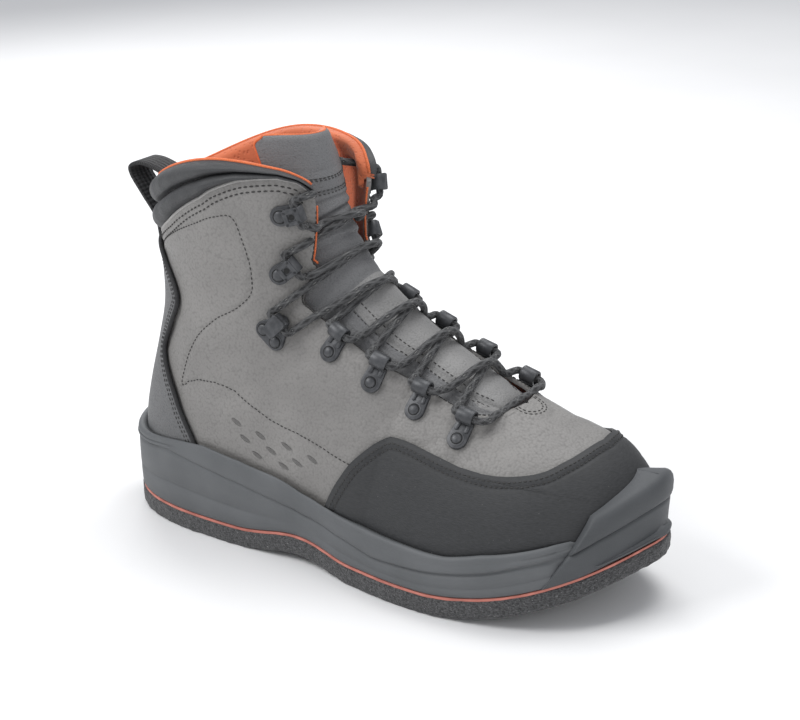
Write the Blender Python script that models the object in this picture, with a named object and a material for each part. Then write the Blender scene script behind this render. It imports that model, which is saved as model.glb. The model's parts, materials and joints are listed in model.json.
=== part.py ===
"""Wading boot, right foot: felt sole, moulded midsole, hollow lace-up upper.

Metres, +Z up, toe towards +X, lateral side towards -Y. While the pieces are
made, x is measured from the back of the heel; the parent empty then moves the
boot so that the origin is the middle of the heel's tread, on the floor.
"""
import bmesh
import bpy
import numpy as np
from math import asin, cos, pi, sin, sqrt
from mathutils import Matrix, Vector
from mathutils.bvhtree import BVHTree

# Driving sizes
SOLE_LENGTH = 0.318
BALL_WIDTH = 0.1135
SHAFT_HEIGHT = 0.200
HEEL_SEAT = 0.064

# Clearances and thicknesses
GAP = 0.0003
FELT = 0.0095
BOND = 0.0012
UPPER_WALL = 0.0024
OVERLAY = 0.0014
FEATHER_INSET = 0.0060
INSOLE = 0.0040
INSOLE_GAP = 0.0010
INSOLE_BEVEL = 0.0025
MIDSOLE_HEIGHT = 0.056
MIDSOLE_WALL = 0.0026
HEEL_PLATFORM = 0.0260
BALL_PLATFORM = 0.0200
TOE_SPRING = 0.026
ARCH_LIFT = 0.0045
HEEL_BEVEL = 0.003
BUMPER_RECESS = 0.0022
BUMPER_SHARE = 0.7
BUMPER_HEIGHT = 0.043
COLLAR_THICKNESS = 0.0075
COLLAR_ROLL = 0.0030
TONGUE_THICKNESS = 0.0045
TONGUE_GAP = 0.0009
TONGUE_CROWN = 0.0030
TONGUE_RISE = 0.017
TONGUE_LEAN = 0.024
TONGUE_OVERLAP = 0.075
TONGUE_RUN_IN = 0.05
LACE_RADIUS = 0.0020
LACE_CLEAR = 0.0009
LACE_STEP = 0.0045

# Hardware
PLATE_WIDTH = 0.0085
PLATE_THICKNESS = 0.0011
EYE_RADIUS = 0.0034
RIVET_RADIUS = 0.0030
LOOP_ARM = 0.0115
ARM_MIDDLE = 0.35
HOOK_ARM = 0.0095

# Pull loop
WEBBING_WIDTH = 0.016
WEBBING_THICKNESS = 0.0020
PULL_LOOP_REACH = 0.020
PULL_LOOP_FOOT = 0.912

# Pull loop's middle line from the collar's top at the back: how far behind it and
# above it, as shares of the loop's reach
PULL_LOOP = [
    (0.62, -0.55),
    (0.97, -0.05),
    (1.00, 0.12),
    (0.80, 0.26),
    (0.45, 0.27),
    (0.15, 0.20),
    (-0.17, 0.085),
]

# Sole outline: share of the length, reach to the lateral and to the medial side
# as shares of the ball width
SOLE_OUTLINE = [
    (1.000, -0.080, 0.080),
    (0.985, 0.053, 0.225),
    (0.960, 0.200, 0.300),
    (0.920, 0.335, 0.375),
    (0.850, 0.458, 0.440),
    (0.750, 0.515, 0.485),
    (0.650, 0.515, 0.467),
    (0.550, 0.470, 0.415),
    (0.450, 0.412, 0.368),
    (0.350, 0.405, 0.362),
    (0.250, 0.400, 0.370),
    (0.150, 0.370, 0.362),
    (0.080, 0.305, 0.305),
    (0.030, 0.198, 0.198),
    (0.000, 0.000, 0.000),
]

# Midsole side: share of the length, groove and top edge above the tread curve
# as shares of the midsole height
MIDSOLE_SIDE = [
    (0.000, 0.68, 0.80),
    (0.080, 0.73, 0.84),
    (0.150, 0.78, 0.90),
    (0.190, 0.76, 0.93),
    (0.240, 0.72, 0.955),
    (0.320, 0.65, 0.90),
    (0.400, 0.48, 0.76),
    (0.445, 0.43, 0.67),
    (0.490, 0.44, 0.65),
    (0.540, 0.43, 0.645),
    (0.600, 0.37, 0.62),
    (0.670, 0.39, 0.60),
    (0.740, 0.41, 0.575),
    (0.800, 0.42, 0.60),
    (0.860, 0.445, 0.585),
    (0.925, 0.43, 0.565),
    (0.950, 0.30, 0.440),
    (1.000, 0.30, 0.430),
]

# Sections of the last from the toe to the collar. Front point x, z and y, share
# of the way round the sole edge (over 1: up the back seam), lateral and medial
# half width, squareness of the front and the back half, and how far the side
# rises over the line from front to back. Lengths are shares of the sole
# length, the shaft height and the ball width.
LAST = [
    (0.976, 0.240, 0.079, 0.000, 0.000, 0.000, 1.00, 1.00, 0.000),
    (0.970, 0.284, 0.079, 0.040, 0.100, 0.112, 1.00, 1.00, 0.000),
    (0.956, 0.322, 0.075, 0.085, 0.205, 0.190, 0.95, 0.95, 0.000),
    (0.931, 0.366, 0.070, 0.135, 0.305, 0.272, 0.92, 0.92, 0.000),
    (0.893, 0.402, 0.062, 0.190, 0.385, 0.338, 0.92, 0.92, 0.000),
    (0.843, 0.428, 0.053, 0.250, 0.445, 0.384, 0.94, 0.94, 0.000),
    (0.780, 0.458, 0.044, 0.310, 0.480, 0.419, 0.97, 0.97, 0.000),
    (0.717, 0.500, 0.035, 0.370, 0.480, 0.423, 1.00, 1.00, 0.000),
    (0.654, 0.558, 0.026, 0.435, 0.458, 0.401, 1.00, 1.00, 0.000),
    (0.594, 0.615, 0.018, 0.510, 0.432, 0.370, 1.00, 1.00, 0.000),
    (0.544, 0.678, 0.009, 0.600, 0.405, 0.355, 1.00, 1.00, 0.000),
    (0.505, 0.745, 0.000, 0.720, 0.383, 0.350, 1.00, 1.02, 0.005),
    (0.484, 0.810, 0.000, 0.880, 0.368, 0.348, 0.97, 1.05, 0.010),
    (0.476, 0.870, 0.000, 1.120, 0.361, 0.352, 0.94, 1.10, 0.020),
    (0.476, 0.920, 0.000, 1.450, 0.361, 0.357, 0.92, 1.12, 0.040),
    (0.480, 0.955, 0.000, 1.680, 0.361, 0.357, 0.90, 1.12, 0.060),
    (0.483, 0.980, 0.000, 1.840, 0.366, 0.361, 0.90, 1.08, 0.070),
    (0.484, 0.995, 0.000, 2.000, 0.370, 0.366, 0.90, 1.05, 0.080),
]

# Back seam above the feather line: share of the length, share of the height
BACK_SEAM = [
    (0.024, 0.225),
    (0.041, 0.325),
    (0.068, 0.450),
    (0.088, 0.560),
    (0.091, 0.675),
    (0.088, 0.775),
    (0.085, 0.860),
    (0.085, 0.920),
]

# Throat edge on the last: share of the way toe to collar, share round the section
THROAT_BASE = 0.362
THROAT = [
    (0.362, 0.000),
    (0.372, 0.150),
    (0.388, 0.220),
    (0.410, 0.262),
    (0.480, 0.305),
    (0.550, 0.318),
    (0.620, 0.335),
    (0.670, 0.350),
    (0.690, 0.345),
    (0.706, 0.290),
    (0.726, 0.205),
    (0.775, 0.178),
    (1.000, 0.185),
]
MEDIAL_THROAT = 0.92

# Top line of the quarters: share round the section, share toe to collar
QUARTER_TOP = [
    (0.160, 0.905),
    (0.200, 0.928),
    (0.240, 0.962),
    (0.300, 0.972),
    (0.420, 0.957),
    (0.540, 0.936),
    (0.700, 0.927),
    (1.000, 0.928),
]
QUARTER_BEND = 0.80

# Rows of the net at the rear end of the toe cap, between the overlays, and before
# the front of the heel counter
OVERLAY_ENDS = [0.562, 0.590, 0.635]

# Edge of the toe cap: share round the section, share toe to collar
CAP_EDGE = [
    (0.000, 0.230),
    (0.200, 0.240),
    (0.300, 0.252),
    (0.410, 0.276),
    (0.485, 0.325),
    (0.508, 0.370),
    (0.520, 0.430),
    (0.557, 0.485),
    (0.670, 0.522),
    (0.780, 0.538),
    (0.900, 0.548),
    (1.000, 0.552),
]

# Front edge of the heel counter in the side view: shares of length and height
COUNTER_EDGE = [
    (0.085, 0.775),
    (0.135, 0.735),
    (0.172, 0.690),
    (0.190, 0.648),
    (0.168, 0.575),
    (0.145, 0.500),
    (0.160, 0.430),
    (0.192, 0.330),
    (0.213, 0.270),
    (0.235, 0.180),
]

# Lace hardware: kind, lateral rivet (toe to collar, round), medial rivet (same)
HARDWARE = [
    ("loop_1", 0.404, 0.406, 0.404, 0.375),
    ("loop_2", 0.474, 0.415, 0.474, 0.380),
    ("loop_3", 0.542, 0.405, 0.542, 0.375),
    ("loop_4", 0.612, 0.411, 0.612, 0.385),
    ("lock_hook", 0.692, 0.470, 0.692, 0.440),
    ("hook_2", 0.759, 0.285, 0.759, 0.270),
    ("hook_1", 0.862, 0.295, 0.862, 0.275),
]

UPPER_ROWS_FOOT = 17
UPPER_ROWS_SHAFT = 7
UPPER_COLUMNS = 10
EDGE_STATIONS = 20


def spline(points, samples, closed=False):
    """Centripetal Catmull-Rom curve through the points."""
    p = np.asarray(points, float)
    if closed:
        spans = len(p)
        p = np.vstack([p[-1], p, p[0], p[1]])
    else:
        spans = len(p) - 1
        p = np.vstack([2 * p[0] - p[1], p, 2 * p[-1] - p[-2]])
    out = []
    for i in range(spans):
        p0, p1, p2, p3 = p[i:i + 4]
        t1 = sqrt(np.linalg.norm(p1 - p0))
        t2 = t1 + sqrt(np.linalg.norm(p2 - p1))
        t3 = t2 + sqrt(np.linalg.norm(p3 - p2))
        for t in np.linspace(t1, t2, samples, endpoint=False):
            a1 = (t1 - t) / t1 * p0 + t / t1 * p1
            a2 = (t2 - t) / (t2 - t1) * p1 + (t - t1) / (t2 - t1) * p2
            a3 = (t3 - t) / (t3 - t2) * p2 + (t - t2) / (t3 - t2) * p3
            b1 = (t2 - t) / t2 * a1 + t / t2 * a2
            b2 = (t3 - t) / (t3 - t1) * a2 + (t - t1) / (t3 - t1) * a3
            out.append((t2 - t) / (t2 - t1) * b1 + (t - t1) / (t2 - t1) * b2)
    if not closed:
        out.append(p[-2])
    return np.array(out)


def column(table, key, value=1):
    """Linear reading of one column of a table against its first column."""
    return np.interp(key, [row[0] for row in table], [row[value] for row in table])


def arc_shares(line):
    steps = np.linalg.norm(np.diff(line, axis=0), axis=1)
    length = np.concatenate([[0], np.cumsum(steps)])
    return length / length[-1]


def sole_halves():
    """Lateral and medial half of the sole's outline, each from toe to heel."""
    lateral = [(x * SOLE_LENGTH, -reach * BALL_WIDTH) for x, reach, _ in SOLE_OUTLINE]
    medial = [(x * SOLE_LENGTH, reach * BALL_WIDTH) for x, _, reach in SOLE_OUTLINE]
    samples = 16
    ring = spline(lateral + medial[::-1][1:-1], samples, closed=True)
    half = samples * (len(lateral) - 1)
    return [ring[:half + 1], np.vstack([ring[half:], ring[:1]])[::-1]]


HALVES = sole_halves()
HALF_ARCS = [arc_shares(half) for half in HALVES]


def outline(side, q, inset=0.0):
    """Point of the outline at share q from toe to heel, moved inwards by inset."""
    half, arcs = HALVES[side], HALF_ARCS[side]
    step = 0.004
    here, after, before = (
        np.array([np.interp(np.clip(s, 0, 1), arcs, half[:, k]) for k in (0, 1)])
        for s in (q, q + step, q - step))
    if q <= 0 or q >= 1:
        return here + np.array([-inset if q <= 0 else inset, 0.0])
    along = (after - before) / np.linalg.norm(after - before)
    inward = np.array([along[1], -along[0]])
    return here + (inward if side == 0 else -inward) * inset


def share_at(side, x_share):
    """Share q of the outline where it passes the given share of the length."""
    half = HALVES[side]
    return np.interp(-x_share * SOLE_LENGTH, -half[:, 0], HALF_ARCS[side])


def tread_height(x):
    """Height of the felt's underside above the floor."""
    s = x / SOLE_LENGTH
    arch = ARCH_LIFT * cos(pi / 2 * np.clip((s - 0.425) / 0.125, -1, 1)) ** 2
    toe = TOE_SPRING * max((s - 0.69) / 0.31, 0.0) ** 1.75
    heel = HEEL_BEVEL * np.clip((0.07 - s) / 0.07, 0, 1) ** 2
    return arch + toe + heel


def feather_height(x):
    """Height of the line where the upper meets the midsole's platform."""
    platform = np.interp(x / SOLE_LENGTH, [0, 0.35, 0.6], [HEEL_PLATFORM, HEEL_PLATFORM, BALL_PLATFORM])
    return tread_height(x) + platform


def scaled_last():
    rows = np.array(LAST)
    rows[:, 0] *= SOLE_LENGTH
    rows[:, [1, 8]] *= SHAFT_HEIGHT
    rows[:, [2, 4, 5]] *= BALL_WIDTH
    return rows


def scaled_back():
    seam = [(x * SOLE_LENGTH, z * SHAFT_HEIGHT) for x, z in BACK_SEAM]
    return spline([(FEATHER_INSET, feather_height(FEATHER_INSET))] + seam, 12)


SECTIONS = scaled_last()
BACK = scaled_back()
BACK_ARCS = arc_shares(BACK)
SPANS = len(SECTIONS) - 1


def section(u):
    """Row of the last at parameter u, smooth between the table's rows."""
    i = int(np.clip(np.floor(u), 0, SPANS - 1))
    t = u - i
    p1, p2 = SECTIONS[i], SECTIONS[i + 1]
    p0 = SECTIONS[i - 1] if i > 0 else 2 * p1 - p2
    p3 = SECTIONS[i + 2] if i + 2 <= SPANS else 2 * p2 - p1
    return 0.5 * (2 * p1 + (p2 - p0) * t + (2 * p0 - 5 * p1 + 4 * p2 - p3) * t * t
                  + (3 * p1 - p0 - 3 * p2 + p3) * t ** 3)


def bottom_anchor(side, q, grow):
    """Lower end of a section, on the feather line or on the back seam."""
    if q <= 1:
        x, y = outline(side, max(q, 0), FEATHER_INSET - grow)
        return np.array([x, y, feather_height(x)])
    s = min(q - 1, 1.0)
    step = 0.01
    x, z = (np.interp(s, BACK_ARCS, BACK[:, k]) for k in (0, 1))
    run = [np.interp(min(s + step, 1), BACK_ARCS, BACK[:, k])
           - np.interp(max(s - step, 0), BACK_ARCS, BACK[:, k]) for k in (0, 1)]
    normal = np.array([-run[1], run[0]]) / np.linalg.norm(run)
    return np.array([x + normal[0] * grow, 0.0, z + normal[1] * grow])


def last_point(side, r, t, grow=0.0):
    """Point of the last's surface, grown outwards by grow.

    r runs from the toe (0) to the collar (1), t from the front's middle (0)
    round one side to the feather line or the back seam (1).
    """
    u = r * SPANS
    step = 0.05
    row = section(u)
    run = section(min(u + step, SPANS)) - section(max(u - step, 0))
    normal = np.array([run[1], -run[0]]) / np.linalg.norm(run[:2])
    front = np.array([row[0] + normal[0] * grow, row[2], row[1] + normal[1] * grow])
    back = bottom_anchor(side, row[3], grow)
    sign = -1 if side == 0 else 1
    reach = sign * (back[1] - front[1])
    width = max(row[4 if side == 0 else 5] + grow, abs(reach) * 1.002)
    if u < 1e-9:
        width = max(abs(reach), 1e-6)
    front_power, back_power = row[6], row[7]
    sweep = pi - asin(min(1, reach / width) ** (1 / back_power)) if reach > 0 else pi
    angle = t * sweep
    power = front_power if cos(angle) > 0 else back_power
    forward = np.sign(cos(angle)) * abs(cos(angle)) ** power
    aside = abs(sin(angle)) ** power
    last_forward = -abs(cos(sweep)) ** back_power
    depth = (1 - forward) / (1 - last_forward)
    x = front[0] + (back[0] - front[0]) * depth
    z = front[2] + (back[2] - front[2]) * depth + row[8] * sin(pi * depth)
    return np.array([x, front[1] + sign * width * aside, z])


def heel_row():
    """Share toe to collar whose section ends exactly at the heel's corner."""
    low, high = 0.6, 0.85
    for _ in range(40):
        middle = (low + high) / 2
        if section(middle * SPANS)[3] < 1:
            low = middle
        else:
            high = middle
    return high


HEEL_ROW = heel_row()


def throat(side, r):
    return column(THROAT, r) * (1 if side == 0 else MEDIAL_THROAT)


def upper_rows():
    """Shares toe to collar of the upper's rows, with rows where edges need them."""
    foot = [HEEL_ROW * k / UPPER_ROWS_FOOT for k in range(UPPER_ROWS_FOOT + 1)]
    for wanted in (THROAT_BASE, *OVERLAY_ENDS):
        nearest = min(range(len(foot)), key=lambda k: abs(foot[k] - wanted))
        foot[nearest] = wanted
    base = foot.index(THROAT_BASE)
    foot[base + 1:base + 1] = [THROAT_BASE + 0.005, THROAT_BASE + 0.016]
    gap = HEEL_ROW - foot[-2]
    foot[-1:-1] = [HEEL_ROW - gap * share for share in (0.6, 0.3)]
    top = column(QUARTER_TOP, 1.0)
    shaft = [HEEL_ROW + (top - HEEL_ROW) * k / UPPER_ROWS_SHAFT for k in range(1, UPPER_ROWS_SHAFT + 1)]
    return foot + shaft


ROWS = upper_rows()
HEEL_INDEX = next(i for i, r in enumerate(ROWS) if r >= HEEL_ROW - 1e-9)
BASE_INDEX = ROWS.index(THROAT_BASE)


def bent_row(r, t):
    """Rows near the top bend with the top line of the quarters."""
    top = column(QUARTER_TOP, 1.0)
    share = np.clip((r - QUARTER_BEND) / (top - QUARTER_BEND), 0, 1)
    return r + (column(QUARTER_TOP, t) - top) * share


def material(name, colour, roughness, metallic=0.0):
    made = bpy.data.materials.new(name)
    made.use_nodes = True
    shader = made.node_tree.nodes["Principled BSDF"]
    shader.inputs["Base Color"].default_value = (*colour, 1)
    shader.inputs["Roughness"].default_value = roughness
    shader.inputs["Metallic"].default_value = metallic
    return made


def add_object(name, mesh, parent, finish=None):
    made = bpy.data.objects.new(name, mesh)
    bpy.context.collection.objects.link(made)
    made.parent = parent
    if finish is None:
        made.hide_render = True
        made.display_type = "WIRE"
        made.hide_set(True)
    else:
        mesh.materials.append(finish)
    return made


def finish_mesh(name, bm):
    """Turn a bmesh into a mesh with outward faces and smooth round sides."""
    bmesh.ops.remove_doubles(bm, verts=bm.verts, dist=1e-6)
    bmesh.ops.recalc_face_normals(bm, faces=bm.faces)
    if bm.calc_volume(signed=True) < 0:
        bmesh.ops.reverse_faces(bm, faces=bm.faces)
    mesh = bpy.data.meshes.new(name)
    bm.to_mesh(mesh)
    bm.free()
    mesh.shade_smooth()
    mesh.set_sharp_from_angle(angle=pi / 5)
    return mesh


def add_face(bm, corners):
    """Face through the corners, without those that repeat."""
    unique = []
    for corner in corners:
        if corner not in unique:
            unique.append(corner)
    if len(unique) > 2:
        bm.faces.new(unique)


def boolean(target, cutter, operation):
    cut = target.modifiers.new(cutter.name, "BOOLEAN")
    cut.operation = operation
    cut.solver = "EXACT"
    cut.object = cutter


def net(bm, place):
    """Vertices of the last's net: net[side][row][column], shared at the seams."""
    sides = [[], []]
    for i, r in enumerate(ROWS):
        for side in (0, 1):
            start = throat(side, r)
            line = []
            for j in range(UPPER_COLUMNS + 1):
                top_seam = j == 0 and start == 0
                back_seam = j == UPPER_COLUMNS and i >= HEEL_INDEX
                if side == 1 and (i == 0 or top_seam or back_seam):
                    line.append(sides[0][i][j])
                else:
                    t = start + (1 - start) * j / UPPER_COLUMNS
                    line.append(bm.verts.new(place(side, i, j, t)))
            sides[side].append(line)
    return sides


def skin(bm, sides, short_way=None):
    """Faces of a net; short_way says which way each four-sided face is split."""
    for side, lines in enumerate(sides):
        for i, (low, high) in enumerate(zip(lines, lines[1:])):
            for j in range(len(low) - 1):
                if short_way is None:
                    add_face(bm, (low[j], low[j + 1], high[j + 1], high[j]))
                elif short_way(side, i, j):
                    add_face(bm, (low[j], low[j + 1], high[j + 1]))
                    add_face(bm, (low[j], high[j + 1], high[j]))
                else:
                    add_face(bm, (low[j], low[j + 1], high[j]))
                    add_face(bm, (low[j + 1], high[j + 1], high[j]))


def last_net():
    """Place and outward direction of each vertex of the last's net."""
    bm = bmesh.new()
    sides = net(bm, lambda side, i, j, t: last_point(side, bent_row(ROWS[i], t), t))
    skin(bm, sides)
    bmesh.ops.recalc_face_normals(bm, faces=bm.faces)
    bm.normal_update()
    outward = 1 if sides[0][0][0].normal.x > 0 else -1
    found = {}
    for side in (0, 1):
        for i, line in enumerate(sides[side]):
            for j, vertex in enumerate(line):
                direction = vertex.normal * outward
                if i == 0:
                    direction = Vector((1, 0, 0))
                elif j == UPPER_COLUMNS and i <= HEEL_INDEX:
                    direction.z = 0.0
                    direction.normalize()
                found[side, i, j] = (vertex.co.copy(), direction.copy())
    bm.free()
    return found


LAST_NET = last_net()


def splits_outwards(side, i, j):
    """True where the net's face is shorter from its low near to its high far corner."""
    if i == 0:
        return True
    near, far, high_near, high_far = (
        LAST_NET[side, i + a, j + b][0] for a, b in ((0, 0), (0, 1), (1, 0), (1, 1)))
    return (near - high_far).length < (far - high_near).length


def grown_net(bm, grow):
    """Skin of the last moved outwards by grow, which may change from row to row."""
    def place(side, i, j, t):
        spot, direction = LAST_NET[side, i, j]
        return spot + direction * (grow(ROWS[i]) if callable(grow) else grow)
    sides = net(bm, place)
    skin(bm, sides, splits_outwards)
    return sides


def rim(bm, outer, inner):
    for a, b, c, d in zip(outer, outer[1:], inner[1:], inner):
        add_face(bm, (a, b, c, d))


def shell_mesh(name, outer_grow, inner_grow):
    """Open shell of the upper's shape between two offsets of the last."""
    bm = bmesh.new()
    outer = grown_net(bm, outer_grow)
    inner = grown_net(bm, inner_grow)
    for side in (0, 1):
        rim(bm, [line[0] for line in outer[side][BASE_INDEX:]], [line[0] for line in inner[side][BASE_INDEX:]])
        rim(bm, [line[-1] for line in outer[side][:HEEL_INDEX + 1]],
            [line[-1] for line in inner[side][:HEEL_INDEX + 1]])
        rim(bm, outer[side][-1], inner[side][-1])
    return finish_mesh(name, bm)


def strips(bm, lateral, medial):
    for a, b, c, d in zip(lateral, medial, medial[1:], lateral[1:]):
        add_face(bm, (a, b, c))
        add_face(bm, (a, c, d))


def cavity_mesh(name, grow, drop):
    """Last grown by grow, carried straight down by drop and closed across."""
    bm = bmesh.new()
    sides = grown_net(bm, grow)
    lateral = [line[-1] for line in sides[0][:HEEL_INDEX + 1]]
    medial = [line[-1] for line in sides[1][:HEEL_INDEX + 1]]
    lower = {vertex: bm.verts.new(vertex.co - Vector((0, 0, drop))) for vertex in lateral + medial[1:-1]}
    for edge in (lateral, medial):
        rim(bm, edge, [lower[vertex] for vertex in edge])
    strips(bm, [lower[vertex] for vertex in lateral], [lower[vertex] for vertex in medial])
    strips(bm, sides[0][-1], sides[1][-1])
    strips(bm, [line[0] for line in sides[0][BASE_INDEX:]], [line[0] for line in sides[1][BASE_INDEX:]])
    return finish_mesh(name, bm)


def cup_grow(r):
    """Room between the last and the midsole's cup: more where an overlay goes down."""
    overlay = np.interp(r, OVERLAY_ENDS, [1, 0, 1])
    return GAP + (OVERLAY + GAP) * overlay


def insole_mesh(name):
    """Footbed with a bevelled edge, inside the upper's lower edge."""
    bm = bmesh.new()
    rings = []
    for inset, rise in ((0.0, 0.0), (INSOLE_BEVEL, INSOLE)):
        lines = []
        for side in (0, 1):
            line = []
            for i in range(HEEL_INDEX + 1):
                spot, direction = LAST_NET[side, i, UPPER_COLUMNS]
                inwards = direction * (UPPER_WALL + INSOLE_GAP + inset)
                line.append(bm.verts.new(spot - inwards + Vector((0, 0, INSOLE_GAP + rise))))
            lines.append(line)
        for end in (0, -1):
            bm.verts.remove(lines[1][end])
            lines[1][end] = lines[0][end]
        strips(bm, lines[0], lines[1])
        rings.append(lines)
    for side in (0, 1):
        rim(bm, rings[0][side], rings[1][side])
    return finish_mesh(name, bm)


def side_stations():
    """Shares of the outline for the midsole's side, closer round toe and heel."""
    return [0.5 - 0.5 * cos(pi * k / EDGE_STATIONS) * (0.8 + 0.2 * cos(pi * k / EDGE_STATIONS) ** 2)
            for k in range(EDGE_STATIONS + 1)]


def plate_mesh(name, inset, low, high):
    """Flat layer of the sole's outline between two heights that follow x."""
    bm = bmesh.new()
    edges = []
    for height in (low, high):
        lines = []
        for side in (0, 1):
            places = [outline(side, q, inset) for q in side_stations()]
            lines.append([bm.verts.new((x, y, height(x))) for x, y in places])
        lines[1][0] = lines[0][0]
        lines[1][-1] = lines[0][-1]
        strips(bm, lines[0], lines[1])
        edges.append(lines)
    for side in (0, 1):
        rim(bm, edges[0][side], edges[1][side])
    for vertex in [v for v in bm.verts if not v.link_faces]:
        bm.verts.remove(vertex)
    return finish_mesh(name, bm)


def midsole_side(side, q):
    """Side of the midsole at one station, tread to lip: inset, height, least wall."""
    x = outline(side, q)[0]
    share = x / SOLE_LENGTH
    groove = column(MIDSOLE_SIDE, share) * MIDSOLE_HEIGHT
    top = column(MIDSOLE_SIDE, share, 2) * MIDSOLE_HEIGHT
    under_bumper = np.interp(share, [0.90, 0.93], [0, 1])
    thickness = MIDSOLE_WALL * (1 - BUMPER_SHARE * under_bumper)
    base = FELT + BOND + 2 * GAP
    profile = [
        (0.0004, base, 0.0),
        (0.0004, (base + groove) / 2, 1.0),
        (0.0006, groove - 0.0014, 1.0),
        (0.0016, groove, 0.7),
        (0.0003, groove + 0.0014, 1.0),
        (0.0006, top - 0.0034, 0.9),
        (0.0012, top - 0.0010, 0.7),
        (0.0024, top, 0.4),
    ]
    recess = BUMPER_RECESS * under_bumper
    return [(inset + recess, height, wall * thickness) for inset, height, wall in profile]


def clear_of_cup(cup, place, outward, wall):
    """The place, moved outwards until the wall to the cup is thick enough."""
    for _ in range(6):
        near, normal, _, _ = cup.find_nearest(place)
        depth = (place - near).length * (1 if (place - near).dot(normal) >= 0 else -1)
        if depth >= wall:
            break
        place = place + outward * (wall - depth)
    return place


def midsole_mesh(name, cup, grow=0.0):
    """Midsole as a full block round the cup, which is cut from it afterwards."""
    tree = BVHTree.FromPolygons([v.co for v in cup.vertices], [face.vertices[:] for face in cup.polygons])
    bm = bmesh.new()
    rings = [[], []]
    for side in (0, 1):
        for q in side_stations():
            line = []
            profile = midsole_side(side, q)
            outward = Vector((*(outline(side, q) - outline(side, q, 1.0)), 0.0))
            for level, (inset, height, wall) in enumerate(profile):
                x, y = outline(side, q, inset)
                place = Vector((x, y, tread_height(x) + height))
                if wall > 0:
                    place = clear_of_cup(tree, place, outward, wall)
                place += outward * grow
                place.z += -grow if level == 0 else grow if level == len(profile) - 1 else 0.0
                line.append(bm.verts.new(place))
            rings[side].append(line)
    for lines in rings:
        for low, high in zip(lines, lines[1:]):
            for j in range(len(low) - 1):
                add_face(bm, (low[j], high[j], high[j + 1]))
                add_face(bm, (low[j], high[j + 1], low[j + 1]))
    for level in (0, -1):
        strips(bm, [line[level] for line in rings[0]], [line[level] for line in rings[1]])
    return finish_mesh(name, bm)


def bumper_mesh(name):
    """Raised toe bumper as a thick band; midsole and toe cap are cut from it."""
    bm = bmesh.new()
    levels = [
        (0.00, -0.0004, 0.0022),
        (0.30, -0.0005, 0.0016),
        (0.52, -0.0006, 0.0008),
        (0.58, 0.0004, 0.0012),
        (0.64, -0.0008, -0.0002),
        (0.86, -0.0008, -0.0008),
        (0.96, 0.0006, 0.0004),
        (1.00, 0.0026, 0.0026),
    ]
    base = FELT + BOND + 2 * GAP
    stations = 9
    depth = 0.016
    rings = []
    for k in range(-stations, stations + 1):
        side = 0 if k < 0 else 1
        ring = []
        for inner in (False, True):
            line = []
            for share, rear_inset, tip_inset in levels:
                q = share_at(side, 0.885 + 0.062 * share) * abs(k) / stations
                x = outline(side, q)[0]
                tip = np.interp(x / SOLE_LENGTH, [0.93, 1.0], [0, 1])
                inset = depth if inner else rear_inset + (tip_inset - rear_inset) * tip
                top = BUMPER_HEIGHT * np.interp(x / SOLE_LENGTH, [0.92, 0.95, 1.0], [0.80, 0.90, 1.0])
                x, y = outline(side, q, inset)
                height = tread_height(x) + base + (top - base) * share
                lift = BUMPER_RECESS * (1 - share) if inner else 0.0
                line.append(bm.verts.new((x, y, height + lift)))
            ring += line if not inner else line[::-1]
        rings.append(ring)
    for low, high in zip(rings, rings[1:]):
        for a, b, c, d in zip(low, low[1:] + low[:1], high[1:] + high[:1], high):
            add_face(bm, (a, b, c, d))
    half = len(levels)
    for ring in (rings[0], rings[-1]):
        for j in range(half - 1):
            add_face(bm, (ring[j], ring[j + 1], ring[2 * half - 2 - j], ring[2 * half - 1 - j]))
    return finish_mesh(name, bm)


def cap_cutter_mesh(name):
    """Thick form of the toe in front of the toe cap's edge."""
    bm = bmesh.new()
    steps = 8
    layers = []
    for grow in (OVERLAY * 3, -OVERLAY):
        sides = []
        for side in (0, 1):
            lines = []
            for k in range(steps + 1):
                line = []
                for j, (t, edge) in enumerate(CAP_EDGE):
                    shared = side == 1 and (k == 0 or j == 0)
                    if shared:
                        line.append(sides[0][k][j])
                    else:
                        line.append(bm.verts.new(last_point(side, edge * k / steps, t, grow)))
                lines.append(line)
            sides.append(lines)
        skin(bm, sides)
        layers.append(sides)
    for side in (0, 1):
        outer, inner = layers[0][side], layers[1][side]
        rim(bm, [line[-1] for line in outer], [line[-1] for line in inner])
        rim(bm, outer[-1], inner[-1])
    for vertex in {line[-1] for sides in layers for lines in sides for line in lines}:
        vertex.co.z -= OVERLAY * 2
    return finish_mesh(name, bm)


def counter_cutter_mesh(name):
    """Prism behind the heel counter's front edge, as wide as the boot."""
    bm = bmesh.new()
    edge = spline(COUNTER_EDGE, 3)
    behind = -0.1
    corners = [(x, z) for x, z in edge] + [(behind, COUNTER_EDGE[-1][1]), (behind, COUNTER_EDGE[0][1])]
    front = [bm.verts.new((x * SOLE_LENGTH, -BALL_WIDTH, z * SHAFT_HEIGHT)) for x, z in corners]
    face = bm.faces.new(front)
    moved = bmesh.ops.extrude_face_region(bm, geom=[face])["geom"]
    bmesh.ops.translate(bm, vec=(0, 2 * BALL_WIDTH, 0), verts=[v for v in moved if isinstance(v, bmesh.types.BMVert)])
    return finish_mesh(name, bm)


def loop_mesh(name, rings, closed_ends=True):
    """Solid swept through rings of points, with flat ends."""
    bm = bmesh.new()
    made = [[bm.verts.new(point) for point in ring] for ring in rings]
    for low, high in zip(made, made[1:]):
        for a, b, c, d in zip(low, low[1:] + low[:1], high[1:] + high[:1], high):
            add_face(bm, (a, b, c, d))
    if closed_ends:
        bm.faces.new(made[0])
        bm.faces.new(made[-1])
    return finish_mesh(name, bm)


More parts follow.
